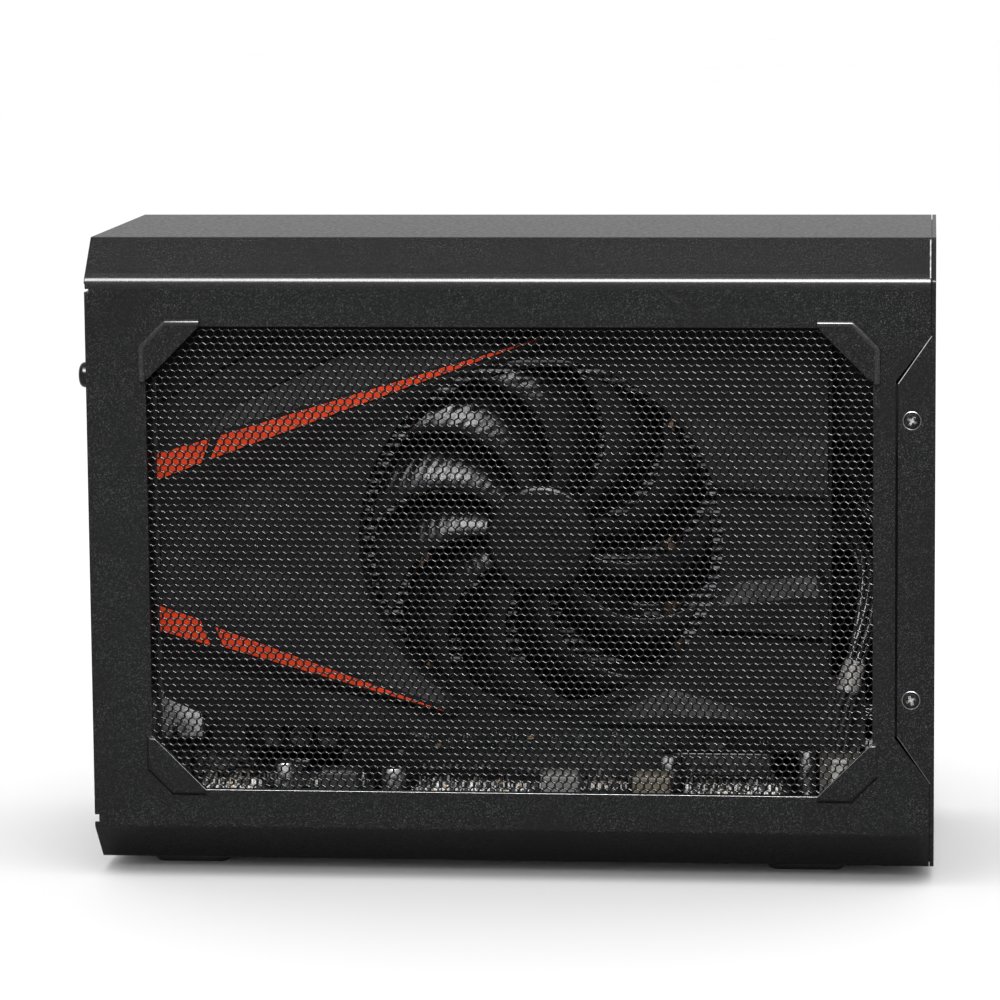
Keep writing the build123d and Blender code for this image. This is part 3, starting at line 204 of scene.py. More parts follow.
CASE_BLACK, CASE_SPECK = (0.001, 0.001, 0.0011), (0.02, 0.02, 0.021)
INNER_BLACK = (0.002, 0.002, 0.0022)
SHADE = (0.0004, 0.0004, 0.0004)

looks = {
    "case_black": powder_coat("case_coat", CASE_BLACK, CASE_SPECK),
    "mesh_black": powder_coat(
        "mesh_coat", CASE_BLACK, INNER_BLACK, rough=0.45, coat=0.03, coat_rough=0.2, grain=0.03
    ),
    "inner_black": powder_coat("inner_coat", INNER_BLACK, (0.012, 0.012, 0.013)),
    "panel_black": powder_coat("panel_coat", INNER_BLACK, (0.025, 0.025, 0.027)),
    "screw_black": bright_metal("dark_screw", (0.02, 0.02, 0.021)),
    "screw_steel": bright_metal("nickel_screw", (0.62, 0.61, 0.58)),
    "foot_rubber": moulded("foot_rubber", (0.02, 0.02, 0.021), rough=0.75, grain=0.4, specular=0.3),
    "board_black": laminate("black_laminate", (0.010, 0.012, 0.012), (0.03, 0.034, 0.03)),
    "bracket_steel": plated_sheet("bracket_sheet", (0.09, 0.09, 0.093), rough=0.3),
    "socket_shell": bright_metal("socket_shell", (0.66, 0.66, 0.67), rough=0.2),
    "chip_black": moulded("chip_package", (0.018, 0.018, 0.02), rough=0.5, grain=0.35),
    "fin_aluminium": bright_metal("fin_aluminium", (0.48, 0.48, 0.49), rough=0.3),
    "pipe_copper": bright_metal("pipe_copper", (0.36, 0.25, 0.17), rough=0.25),
    "shroud_plastic": moulded(
        "shroud_plastic", (0.0034, 0.0034, 0.0036), rough=0.5, grain=0.12, specular=0.08
    ),
    "accent_orange": moulded("accent_orange", (0.265, 0.019, 0.0036), grain=0.1, specular=0.12),
    "fan_plastic": moulded("fan_plastic", (0.0013, 0.0013, 0.0014), rough=0.16, grain=0.05, specular=0.17),
    "shaft_steel": bright_metal("shaft_steel", (0.6, 0.6, 0.6)),
    "slot_black": moulded("slot_plastic", (0.022, 0.022, 0.024)),
    "capacitor_can": bright_metal("capacitor_can", (0.8, 0.8, 0.81), rough=0.24),
    "header_white": moulded("header_plastic", (0.05, 0.048, 0.042), grain=0.2),
    "supply_steel": plated_sheet("supply_sheet", (0.34, 0.34, 0.35)),
    "inlet_black": moulded("inlet_plastic", (0.02, 0.02, 0.02), rough=0.4),
    "pin_metal": bright_metal("pin_metal", (0.75, 0.68, 0.5), rough=0.2),
    "lead_sleeve": moulded("lead_sleeve", (0.02, 0.02, 0.021), rough=0.28, grain=0.1),
}

# Finishes of single pieces that differ from their slot's
# Glossier, slightly lighter coat for the upward-facing hole rims only: painted highlight where light from
# above catches the lower edge of each hole
painted_rim_highlight = powder_coat(
    "painted_rim_highlight_coat", (0.0015, 0.0015, 0.0016), (0.004, 0.004, 0.0044),
    rough=0.35, specular=0.1, coat=1.0, coat_rough=0.12, grain=0.03,
)
crease_coat = powder_coat(
    "crease_coat", CASE_BLACK, CASE_SPECK, rough=0.4, specular=0.1, coat=0.45, coat_rough=0.12
)
fold_coat = powder_coat(
    "fold_coat", CASE_BLACK, CASE_SPECK, rough=0.45, specular=0.05, coat=0.32, coat_rough=0.14
)
# Light metal for the lower window lips: painted highlight
painted_lip_highlight = bright_metal("painted_lip_highlight", (0.17, 0.17, 0.17), rough=0.35)
# Light metal for edges that catch the light: painted highlights, dimmer on the tabs' lower edges
painted_edge_highlight = bright_metal("painted_edge_highlight", (0.3, 0.3, 0.3), rough=0.35)
painted_dim_edge_highlight = bright_metal("painted_dim_edge_highlight", (0.06, 0.06, 0.06), rough=0.4)
# Lighter metals for the screw's dimple ring and cross recess: painted highlight and painted glints
painted_dimple_highlight = bright_metal("painted_dimple_highlight", (0.14, 0.14, 0.14), rough=0.25)
recess_glint = bright_metal("recess_glint", (0.42, 0.41, 0.4), rough=0.2)
dark_can = bright_metal("dark_can", (0.07, 0.07, 0.072), rough=0.3)
dark_ferrite = moulded("dark_ferrite", (0.008, 0.008, 0.008), rough=0.55, grain=0.4)
pale_ferrite = moulded("pale_ferrite", (0.075, 0.074, 0.072), rough=0.5, grain=0.4)
beige_ferrite = moulded("beige_ferrite", (0.06, 0.052, 0.037), rough=0.5, grain=0.4)
grey_ferrite = moulded("grey_ferrite", (0.06, 0.058, 0.055), rough=0.5, grain=0.4)
tan_ceramic = moulded("tan_ceramic", (0.32, 0.22, 0.13), grain=0.3)
tinned_parts = moulded("tinned_parts", (0.5, 0.49, 0.47), rough=0.3, grain=0.2)
pale_sleeve = moulded("pale_sleeve", (0.22, 0.21, 0.2), rough=0.3, grain=0.1)
clip_plastic = moulded("clip_plastic", (0.24, 0.235, 0.22), rough=0.4, grain=0.15)
insulator = moulded("insulator", (0.42, 0.41, 0.38), grain=0.2)
# Near-black for the socket holes: painted shade
hole_shade = moulded("hole_shade", (0.004, 0.004, 0.004), rough=0.7, grain=0.1, specular=0.1)
# Dark marks for the supply cover's seam and louvres: painted shade
cover_shade = moulded("cover_shade", (0.01, 0.01, 0.01), rough=0.6, grain=0.2, specular=0.2)
# Near-black matte for the shroud grooves: painted shade
groove_shade = moulded("groove_shade", SHADE, rough=0.8, grain=0.1, specular=0.02)
# Near-black matte for the gap between tab and sleeve: painted shade
seam_shade = moulded("seam_shade", SHADE, rough=0.8, grain=0.1, specular=0.02)

for part in frame["record"]["subparts"]:
    mesh = nodes[part["node"]].data
    mesh.materials.clear()
    mesh.materials.append(looks[part["material_slot"]])
nodes["card_choke"].data.materials[0] = grey_ferrite


# Places taken from the frame, in millimetres


def box_mm(node):
    """Lowest and highest corner of a CAD node in millimetres."""
    low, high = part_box(node)
    return low / MM, high / MM


sleeve_low, sleeve_high = box_mm("outer_sleeve")
panel_low, panel_high = box_mm("front_panel")
mesh_low, mesh_high = box_mm("fan_side_mesh")
shaft_low, shaft_high = box_mm("fan_shaft")
rotor_low, rotor_high = box_mm("fan_rotor")

MESH_LAP = 2.2
WINDOW_CORNER = 13.8
FOLD = 10.0
SHEET = 1.0
SIDE, CREST = panel_high.y, sleeve_high.y
FOLD_Z = sleeve_high.z - FOLD
WINDOW = (mesh_low + mesh_high) / 2
WINDOW_HALF = (mesh_high - mesh_low) / 2 - Vector((MESH_LAP, 0.0, MESH_LAP))
FAN = (shaft_low + shaft_high) / 2
BOARD_TOP = box_mm("carrier_board")[1].z
CARD_FACE = box_mm("graphics_board")[0].y


# Pieces


def dress(name, data, body, replaced=()):
    """Object for finished data that rides on a body and may stand for CAD nodes."""
    piece = bpy.data.objects.new(name, data)
    scene.collection.objects.link(piece)
    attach(piece, body)
    if replaced:
        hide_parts(*replaced)
    return piece


def new_piece(name, verts, faces, body, slot, smooth=False, replaced=(), normals=None, look=None):
    """Mesh piece from points in metres, in its slot's finish or one of its own."""
    mesh = bpy.data.meshes.new(name)
    mesh.from_pydata(verts, [], faces)
    mesh.validate()
    mesh.materials.append(look or looks[slot])
    if smooth:
        mesh.shade_smooth()
    if normals:
        mesh.normals_split_custom_set_from_vertices(normals)
    return dress(name, mesh, body, replaced)


def join_points(piece):
    """Merges points that meet and turns every face outward."""
    merge, least = 0.002 * MM, 0.001 * MM
    bm = bmesh.new()
    bm.from_mesh(piece.data)
    bmesh.ops.remove_doubles(bm, verts=bm.verts, dist=merge)
    bmesh.ops.dissolve_degenerate(bm, dist=least, edges=bm.edges)
    bmesh.ops.recalc_face_normals(bm, faces=bm.faces)
    bm.to_mesh(piece.data)
    bm.free()


def lathe(verts, faces, profile, foot, axis, across, steps):
    """Adds a turned shape to a mesh, from radius and rise pairs in millimetres along an axis."""
    aside = axis.cross(across)
    first = len(verts)
    for radius, rise in profile:
        for i in range(steps):
            arc = 2 * math.pi * i / steps
            spoke = across * math.cos(arc) + aside * math.sin(arc)
            verts.append((foot + axis * rise + spoke * radius) * MM)
    for ring in range(len(profile) - 1):
        for i in range(steps):
            a = first + ring * steps + i
            b = first + ring * steps + (i + 1) % steps
            faces.append((a, b, b + steps, a + steps))


def new_curve(name, radius, rounds, look, capped=True):
    """Empty curve with a round section, its radius in millimetres."""
    data = bpy.data.curves.new(name, "CURVE")
    data.dimensions = "3D"
    data.bevel_depth = radius * MM
    data.bevel_resolution = rounds
    data.use_fill_caps = capped
    data.materials.append(look)
    return data


def bead_piece(name, runs, radius, look, rounds=2, capped=True):
    """Straight beads along runs of points in millimetres."""
    data = new_curve(name, radius, rounds, look, capped)
    for run in runs:
        spline = data.splines.new("POLY")
        spline.points.add(len(run) - 1)
        for control, spot in zip(spline.points, run):
            control.co = (*(Vector(spot) * MM), 1.0)
    dress(name, data, "enclosure")


def spaced(count, pitch):
    """Evenly spaced places about a middle."""
    return [(i - (count - 1) / 2) * pitch for i in range(count)]


def both_sides(runs):
    """Runs given on the far side, repeated on the fan's side and on the far side."""
    return [[(x, outward * y, z) for x, y, z in run] for outward in (-1, 1) for run in runs]


X_AXIS, Y_AXIS, Z_AXIS = Vector((1, 0, 0)), Vector((0, 1, 0)), Vector((0, 0, 1))
CORNERS = (
    (-1, -1, -1), (1, -1, -1), (1, 1, -1), (-1, 1, -1), (-1, -1, 1), (1, -1, 1), (1, 1, 1), (-1, 1, 1),
)
BOX_FACES = ((0, 3, 2, 1), (4, 5, 6, 7), (0, 1, 5, 4), (1, 2, 6, 5), (2, 3, 7, 6), (3, 0, 4, 7))


def box_piece(name, boxes, slot, bevel, look=None, replaced=()):
    """Bevelled boxes in one piece, each given in millimetres by its middle and its sizes."""
    verts, faces = [], []
    for x, y, z, size_x, size_y, size_z in boxes:
        first = len(verts)
        for dx, dy, dz in CORNERS:
            spot = (x + dx * size_x / 2, y + dy * size_y / 2, z + dz * size_z / 2)
            verts.append(tuple(c * MM for c in spot))
        faces += [tuple(first + corner for corner in face) for face in BOX_FACES]
    piece = new_piece(name, verts, faces, "enclosure", slot, replaced=replaced, look=look)
    edge = piece.modifiers.new("edge", "BEVEL")
    edge.width = bevel * MM
    edge.segments = 1
    edge.limit_method = "ANGLE"


# Perforated sheets at their true pitch: staggered rows of six-sided holes

HOLE_PITCH = 2.04 * MM
ROW_PITCH = 1.70 * MM
WEB = 0.42 * MM
RIM = 0.17 * MM
SKIN = 0.03 * MM
HOLE_SIDES = 6
UPWARD_SIDES = (2, 3)
MARGIN_CORNERS = ((-1, -1), (1, -1), (1, 1), (-1, 1))


def hole_outline():
    """Corners of a hole about its middle, from the upper tip round by the left."""
    half = (HOLE_PITCH - WEB) / 2
    tip = ROW_PITCH * 2 / 3 - WEB / math.sqrt(3)
    shoulder = tip - half / math.sqrt(3)
    return ((0, tip), (-half, shoulder), (-half, -shoulder), (0, -tip), (half, -shoulder), (half, shoulder))


def web_faces(first, row, column):
    """Sheet between a hole and its neighbours to the right and above."""
    a = first[row, column]
    shift = row % 2
    right = first.get((row, column + 1))
    up_right = first.get((row + 1, column + shift))
    up_left = first.get((row + 1, column + shift - 1))
    web = []
    if right is not None:
        web.append((a + 4, right + 2, right + 1, a + 5))
    if up_right is not None:
        web.append((a + 5, up_right + 3, up_right + 2, a))
    if up_left is not None:
        web.append((a, up_left + 4, up_left + 3, a + 1))
    if right is not None and up_right is not None:
        web.append((a + 5, right + 1, up_right + 3))
    if up_left is not None and up_right is not None:
        web.append((a, up_right + 2, up_left + 4))
    return web


def margin_faces(first):
    """Frame of four corners outside and inside, on the outward and the inward face."""
    count = len(MARGIN_CORNERS)
    out, out_edge, back, back_edge = (first + count * ring for ring in range(4))
    pairs = ((out, out_edge), (back_edge, back), (back, out), (out_edge, back_edge))
    turns = [(i, (i + 1) % count) for i in range(count)]
    return [(a + i, a + j, b + j, b + i) for i, j in turns for a, b in pairs]


def perforated(name, node, outward):
    """Two halves of a sheet whose holes have a rounded rim on the outward side; the rim's upward-facing
    sides take a glossier, slightly lighter finish as painted highlight.
    """
    low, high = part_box(node)
    outer_y, inner_y = (low.y, high.y) if outward < 0 else (high.y, low.y)
    middle, half = (low + high) / 2, (high - low) / 2
    columns = int(2 * half.x / HOLE_PITCH) - 1
    rows = int(2 * half.z / ROW_PITCH) - 1
    hole = hole_outline()
    wide = 1 + RIM / hole[-1][0]
    out, back = (0, outward, 0), (0, -outward, 0)
    inward = [(-dx / math.hypot(dx, dz), 0, -dz / math.hypot(dx, dz)) for dx, dz in hole]
    rings = (
        (outer_y, wide, [out] * HOLE_SIDES),
        (outer_y - outward * RIM, 1.0, inward),
        (inner_y, 1.0, inward),
        (inner_y, 1.0, [back] * HOLE_SIDES),
    )
    verts, normals, first = [], [], {}
    for row in range(rows):
        for column in range(columns - row % 2):
            x = middle.x + (column - (columns - 1) / 2 + (row % 2) / 2) * HOLE_PITCH
            z = middle.z + (row - (rows - 1) / 2) * ROW_PITCH
            first[row, column] = len(verts)
            for y, scale, ring_normals in rings:
                verts += [(x + dx * scale, y, z + dz * scale) for dx, dz in hole]
                normals += ring_normals
    halves, highlighted_rims = ([], []), set()
    back_ring = HOLE_SIDES * (len(rings) - 1)
    for (row, column), a in first.items():
        faces = []
        for i in range(HOLE_SIDES):
            j = (i + 1) % HOLE_SIDES
            for ring in (a, a + HOLE_SIDES):
                faces.append((ring + i, ring + j, ring + HOLE_SIDES + j, ring + HOLE_SIDES + i))
            # Upward-facing rim sides take the painted highlight finish
            if i in UPWARD_SIDES:
                highlighted_rims.add(faces[-2])
        web = web_faces(first, row, column)
        faces += web + [tuple(v + back_ring for v in reversed(face)) for face in web]
        halves[row >= rows // 2].extend(faces)
    # Plain margin hidden behind the window's edge
    reaches = ((half.x, half.z), ((columns - 1) / 2 * HOLE_PITCH, (rows - 1) / 2 * ROW_PITCH))
    halves[0].extend(margin_faces(len(verts)))
    for y in (outer_y - outward * SKIN, inner_y + outward * SKIN):
        for reach_x, reach_z in reaches:
            verts += [(middle.x + sx * reach_x, y, middle.z + sz * reach_z) for sx, sz in MARGIN_CORNERS]
            normals += [(0, 0, 0)] * len(MARGIN_CORNERS)
    for part_name, faces, replaced in ((name, halves[0], (node,)), (name + "_high", halves[1], ())):
        used = sorted({v for face in faces for v in face})
        place = {v: i for i, v in enumerate(used)}
        turned = [tuple(place[v] for v in (face if outward < 0 else face[::-1])) for face in faces]
        kept = [verts[v] for v in used]
        kept_normals = [normals[v] for v in used]
        sheet = new_piece(part_name, kept, turned, "enclosure", "mesh_black", True, replaced, kept_normals)
        sheet.data.materials.append(painted_rim_highlight)
        for polygon, face in zip(sheet.data.polygons, faces):
            polygon.material_index = face in highlighted_rims


perforated("fan_side_perforation", "fan_side_mesh", -1)
perforated("far_side_perforation", "far_side_mesh", 1)


# Card fan: moulded blades with concentric ribs about the fan axis

FAN_BLADES = 11
BLADE_SWEEP, SWEEP_POWER = math.radians(30.0), 1.8
BLADE_ROOT, BLADE_TIP = 13.5, 43.2
ROOT_CHORD, CHORD_GROWTH = 10.0, 13.5
ROOT_PITCH, PITCH_FALL = 48.0, 26.0
CAMBER = 1.3
EDGE_HALF, MIDDLE_SWELL = 0.28, 0.3
RIB_PITCH, RIB_HEIGHT = 2.5, 0.16
BLADE_MIDDLE = (rotor_low.y + rotor_high.y) / 2
SPANS, CHORDS = 52, 12
HUB_RADIUS, HUB_FLAT, HUB_WALL = 14.2, 6.0, 1.4
HUB_ROUND = ((2.4, 0.15), (1.2, 0.5), (0.4, 1.1), (0.0, 2.0))
HUB_STEPS = 64


def blade_point(turn, share, step, side):
    """Point on one side of a blade, by its share of the span and its step along the chord."""
    radius = BLADE_ROOT + share * (BLADE_TIP - BLADE_ROOT)
    pitch = math.radians(ROOT_PITCH - share * PITCH_FALL)
    across = (step / CHORDS - 0.5) * (ROOT_CHORD + share * CHORD_GROWTH)
    swell = math.sin(math.pi * step / CHORDS)
    rib = 0.5 + 0.5 * math.cos(2 * math.pi * (radius - BLADE_ROOT) / RIB_PITCH)
    half = EDGE_HALF + (MIDDLE_SWELL + rib * RIB_HEIGHT) * swell
    lift = CAMBER * (1 - (2 * step / CHORDS - 1) ** 2) + side * half
    arc = turn + BLADE_SWEEP * share**SWEEP_POWER
    arc -= (across * math.cos(pitch) + lift * math.sin(pitch)) / radius
    y = BLADE_MIDDLE + across * math.sin(pitch) - lift * math.cos(pitch)
    return Vector((FAN.x + radius * math.cos(arc), y, FAN.z + radius * math.sin(arc))) * MM


def add_blade(verts, faces, turn):
    """Adds a closed blade: two ribbed sides, two edges, a root and a tip."""
    start, width = len(verts), CHORDS + 1
    layer = (SPANS + 1) * width
    for side in (1, -1):
        for i in range(SPANS + 1):
            verts += [blade_point(turn, i / SPANS, j, side) for j in range(width)]
    for i in range(SPANS):
        for j in range(CHORDS):
            a = start + i * width + j
            b = a + layer
            faces.append((a, a + 1, a + width + 1, a + width))
            faces.append((b, b + width, b + width + 1, b + 1))
        for j in (0, CHORDS):
            a = start + i * width + j
            faces.append((a, a + width, a + width + layer, a + layer))
    for j in range(CHORDS):
        for i in (0, SPANS):
            a = start + i * width + j
            faces.append((a, a + 1, a + 1 + layer, a + layer))


def card_fan():
    verts, faces = [], []
    for blade in range(FAN_BLADES):
        add_blade(verts, faces, blade * 2 * math.pi / FAN_BLADES)
    # Hub: rounded cap, straight wall and hollow back round the shaft
    length, inside = rotor_high.y - rotor_low.y, HUB_RADIUS - HUB_WALL
    bore = (shaft_high.x - shaft_low.x) / 2
    profile = [(0.0, 0.0), (HUB_FLAT, 0.0)]
    profile += [(HUB_RADIUS - inset, depth) for inset, depth in HUB_ROUND]
    profile += [(HUB_RADIUS, length), (inside, length)]
    profile += [(radius, HUB_WALL) for radius in (inside, bore, 0.0)]
    lathe(verts, faces, profile, Vector((FAN.x, rotor_low.y, FAN.z)), Y_AXIS, X_AXIS, HUB_STEPS)
    piece = new_piece("fan_blades_and_hub", verts, faces, "card_fan", "fan_plastic", True, ("fan_rotor",))
    join_points(piece)


card_fan()


# Wires of the two leads, each a loose bundle along its route

CARD_ROUTE = (
    (88.3, -4, 36), (99.3, -4, 36), (100.3, -4, 58), (98.3, -3, 71.9),
    (92.3, 3, 86.4), (79.3, 11, 95.9), (68, 18, 99), (59, 18, 99),
)
SUPPLY_ROUTE = (
    (59, 13.6, 82), (68, 13.6, 82), (82, 9, 81), (89, 2, 75),
    (89, -7, 62), (85, -15, 48), (82, -17, 38), (82, -17, 28),
)
WIRES, WIRE_RADIUS = 6, 0.8
END_SPREAD, LOOSE_SPREAD, SPREAD_PLAY = 1.75, 1.7, 0.7
WRAP_LOW, WRAP_HIGH = 43.5, 50.5
WRAP_REACH, WRAP_RADIUS, WRAP_STEPS = 2.7, 0.42, 12


def smooth_spline(data, points):
    """Adds a smooth line with control points in millimetres to a curve."""
    spline = data.splines.new("NURBS")
    spline.points.add(len(points) - 1)
    for control, spot in zip(spline.points, points):
        control.co = (*(Vector(spot) * MM), 1.0)
    spline.order_u = 3
    spline.use_endpoint_u = True


def wire_bundle(name, node, route, turns):
    points = [Vector(spot) for spot in route]
    last = len(points) - 1
    data = new_curve(name, WIRE_RADIUS, 3, looks["lead_sleeve"])
    data.resolution_u = 10
    across = Z_AXIS
    frames = []
    for i, point in enumerate(points):
        along = (points[min(i + 1, last)] - points[max(i - 1, 0)]).normalized()
        across = (across - along * across.dot(along)).normalized()
        frames.append((point, across, along.cross(across)))
    for wire in range(WIRES):
        spots = []
        for i, (point, u, v) in enumerate(frames):
            angle = 2 * math.pi * (wire / WIRES + turns * i / len(points))
            spread = END_SPREAD if i in (0, last) else LOOSE_SPREAD + SPREAD_PLAY * rng.random()
            spots.append(point + (u * math.cos(angle) + v * math.sin(angle)) * spread)
        smooth_spline(data, spots)
    dress(name, data, "enclosure", (node,))


def route_points(route):
    """Close points in millimetres on the smooth line of a route."""
    data = bpy.data.curves.new("route", "CURVE")
    data.dimensions = "3D"
    data.resolution_u = 40
    smooth_spline(data, route)
    line = bpy.data.objects.new("route", data)
    mesh = bpy.data.meshes.new_from_object(line)
    points = [vertex.co / MM for vertex in mesh.vertices]
    bpy.data.objects.remove(line)
    bpy.data.curves.remove(data)
    bpy.data.meshes.remove(mesh)
    return points


def spiral_wrap(name, route):
    """Open spiral sleeve round the part of a lead between two heights."""
    points = [point for point in route_points(route) if WRAP_LOW < point.z < WRAP_HIGH]
    turns = []
    for start, end in zip(points, points[1:]):
        along = (end - start).normalized()
        u = along.orthogonal().normalized()
        v = along.cross(u)
        for i in range(WRAP_STEPS):
            angle = 2 * math.pi * i / WRAP_STEPS
            spoke = u * math.cos(angle) + v * math.sin(angle)
            turns.append(start.lerp(end, i / WRAP_STEPS) + spoke * WRAP_REACH)
    bead_piece(name, [turns], WRAP_RADIUS, pale_sleeve, capped=False)


wire_bundle("card_power_wires", "card_power_lead", CARD_ROUTE, turns=0.7)
wire_bundle("carrier_supply_wires", "supply_lead", SUPPLY_ROUTE, turns=0.9)
spiral_wrap("supply_lead_wrap", SUPPLY_ROUTE)


# Small parts on the boards: bodies, plated ends and chip leads

ceramics, ends, dark, risers, bits = [], [], [], [], []


def on_card(x, z, size):
    """Box on the card's face."""
    return (x, CARD_FACE - size[1] / 2, z, *size)


def on_board(x, y, top, size):
    """Box on a level board's top."""
    return (x, y, top + size[2] / 2, *size)


EDGE_ROW = (-84.0, 74.0)
EDGE_FREE = (-48.0, 63.0)
EDGE_CAN = (44.0, 55.0)
EDGE_LOW, EDGE_BAND = 24.6, 5.0
EDGE_STEP, EDGE_PLAY = 2.3, 1.6
EDGE_CERAMIC, EDGE_CAP, EDGE_CAP_REACH, EDGE_CAP_OUT = (1.3, 0.9, 1.0), (0.45, 0.95, 1.06), 0.85, 0.47
EDGE_PACKAGE, EDGE_LEAD = (3.0, 1.2, 2.4), (0.35, 0.4, 0.7)
EDGE_LEAD_PITCH, EDGE_LEAD_REACH = 0.95, 1.5


def card_edge_parts():
    """Parts on the card's face below the shroud, clear of its cans and its power socket."""
    x, row_end = EDGE_ROW
    while x < row_end:
        z = EDGE_LOW + rng.random() * EDGE_BAND
        kind = rng.random()
        clear = EDGE_FREE[0] <= x < EDGE_FREE[1] and not EDGE_CAN[0] < x < EDGE_CAN[1]
        if clear and kind < 0.15:
            ceramics.append(on_card(x, z, EDGE_CERAMIC))
            cap_y = CARD_FACE - EDGE_CAP_OUT
            ends.extend((x + s * EDGE_CAP_REACH, cap_y, z, *EDGE_CAP) for s in (-1, 1))
        elif clear and kind < 0.5:
            dark.append(on_card(x, z, EDGE_PACKAGE))
            for i in (-1, 0, 1):
                for s in (-1, 1):
                    ends.append(on_card(x + i * EDGE_LEAD_PITCH, z + s * EDGE_LEAD_REACH, EDGE_LEAD))
        x += EDGE_STEP + rng.random() * EDGE_PLAY


ROWS_Y, ROW_START, ROW_END = (-5.5, -8.5, -11.5, 9.0, 12.0), -70.0, 68.0
ROW_STEP, ROW_PLAY, ROW_WANDER, ROW_SKIP = 3.4, 1.8, 1.6, 3.0
# Places taken by larger parts: middle and half length, then the nearest and farthest Y
TAKEN = ((45.0, 20.0, 8.0, 41.0), (37.7, 4.0, -41.0, -10.0), (-12.0, 12.0, -41.0, -9.5))
ROW_LOW, ROW_RANGE = 0.9, 0.9
ROW_BODY, ROW_CAP, ROW_CAP_REACH, CAP_PROUD = (1.7, 1.1), (0.55, 1.16), 1.1, 0.05
ROW_PACKAGE, ROW_LEAD, ROW_LEAD_REACH = (3.2, 2.2, 1.8), (0.4, 0.9, 0.5), 1.5


def carrier_rows():
    """Rows of parts on the carrier board, in front of the card slot and behind it."""
    for row_y in ROWS_Y:
        x = ROW_START
        while x < ROW_END:
            y = row_y + (rng.random() - 0.5) * ROW_WANDER
            kind = rng.random()
            if any(abs(x - middle) < half and near < y < far for middle, half, near, far in TAKEN):
                x += ROW_SKIP
                continue
            tall = ROW_LOW + rng.random() * ROW_RANGE
            if kind < 0.6:
                z = BOARD_TOP + tall / 2
                ceramics.append((x, y, z, *ROW_BODY, tall))
                ends.extend((x + s * ROW_CAP_REACH, y, z, *ROW_CAP, tall + CAP_PROUD) for s in (-1, 1))
            elif kind < 0.8:
                dark.append(on_board(x, y, BOARD_TOP, ROW_PACKAGE))
                ends.extend(on_board(x + i, y - ROW_LEAD_REACH, BOARD_TOP, ROW_LEAD) for i in (-1, 0, 1))
            x += ROW_STEP + rng.random() * ROW_PLAY


RISER_TOP, RISER_SHEET = 18.4, 1.0
# Rear and front end of each riser board, then its near and far edge
RISERS = (
    (-84.0, -66.5, -33.0, -7.0),
    (-54.5, -38.5, -20.5, -7.0),
    (-27.5, 28.0, -21.0, -7.0),
    (-27.5, 4.5, -34.0, -21.6),
    (42.0, 69.0, -34.0, -7.0),
)
LEG_INSET, LEG_LENGTH, LEG_SHARE = 1.6, 2.2, 0.8
BIT_PITCH_X, BIT_PITCH_Y, BIT_WANDER = 1.75, 2.6, 0.5
BIT_MARGIN_X, BIT_MARGIN_NEAR, BIT_MARGIN_FAR = 1.4, 1.2, 0.8
BIT_LOW, BIT_RANGE = 0.6, 0.9
BIT_BODY, BIT_CAP, BIT_CAP_REACH = (0.9, 0.8), (0.36, 0.6), 0.65
BIT_PACKAGE, BIT_LEAD, BIT_LEAD_REACH = (1.7, 1.2), (0.3, 0.5, 0.4), (0.5, 0.8)
PIN = 0.55


def riser_bit(x, y):
    """One small part on a riser board: a capped body, a package with leads, a stud or nothing."""
    kind = rng.random()
    tall = BIT_LOW + BIT_RANGE * rng.random()
    x += (rng.random() - 0.5) * BIT_WANDER
    y += (rng.random() - 0.5) * BIT_WANDER
    z = RISER_TOP + tall / 2
    if kind < 0.5:
        bodies = ceramics if kind < 0.1 else dark
        bodies.append((x, y, z, *BIT_BODY, tall))
        bits.extend((x + s * BIT_CAP_REACH, y, z, *BIT_CAP, tall + CAP_PROUD) for s in (-1, 1))
    elif kind < 0.7:
        dark.append((x, y, z, *BIT_PACKAGE, tall))
        reach_x, reach_y = BIT_LEAD_REACH
        bits.extend(on_board(x + s * reach_x, y - reach_y, RISER_TOP, BIT_LEAD) for s in (-1, 1))
    elif kind < 0.84:
        bits.append(on_board(x, y, RISER_TOP, (PIN, PIN, 2 * tall)))


def riser_boards():
    """Riser boards on two legs each, packed with small parts."""
    for rear, front, near, far in RISERS:
        y_middle, width = (near + far) / 2, far - near
        below = RISER_TOP - RISER_SHEET
        risers.append(on_board((rear + front) / 2, y_middle, below, (front - rear, width, RISER_SHEET)))
        for x in (rear + LEG_INSET, front - LEG_INSET):
            leg = (LEG_LENGTH, width * LEG_SHARE, below - BOARD_TOP)
            risers.append(on_board(x, y_middle, BOARD_TOP, leg))
        y = near + BIT_MARGIN_NEAR
        while y < far - BIT_MARGIN_FAR:
            x = rear + BIT_MARGIN_X
            while x < front - BIT_MARGIN_X:
                riser_bit(x, y)
                x += BIT_PITCH_X
            y += BIT_PITCH_Y


# Rear and front end of each row of pins, then its Y and its top
PIN_ROWS = ((-26.0, -8.0, -12.0, 22.6), (-2.0, 8.0, -14.0, 22.4), (44.0, 56.0, -11.0, 22.0))
PIN_PITCH, PIN_LENGTH, PIN_SHOWN = 1.7, 1.8, 1.4
PIN_BASE, PIN_BASE_MARGIN = 2.0, 1.0


def pin_headers():
    """Rows of upright pins in a dark base on the riser boards."""
    for rear, front, y, top in PIN_ROWS:
        base = (front - rear + 2 * PIN_BASE_MARGIN, PIN_BASE, top - PIN_SHOWN - RISER_TOP)
        dark.append(on_board((rear + front) / 2, y, RISER_TOP, base))
        for i in range(int((front - rear) / PIN_PITCH) + 1):
            bits.append(on_board(rear + i * PIN_PITCH, y, top - PIN_LENGTH, (PIN, PIN, PIN_LENGTH)))


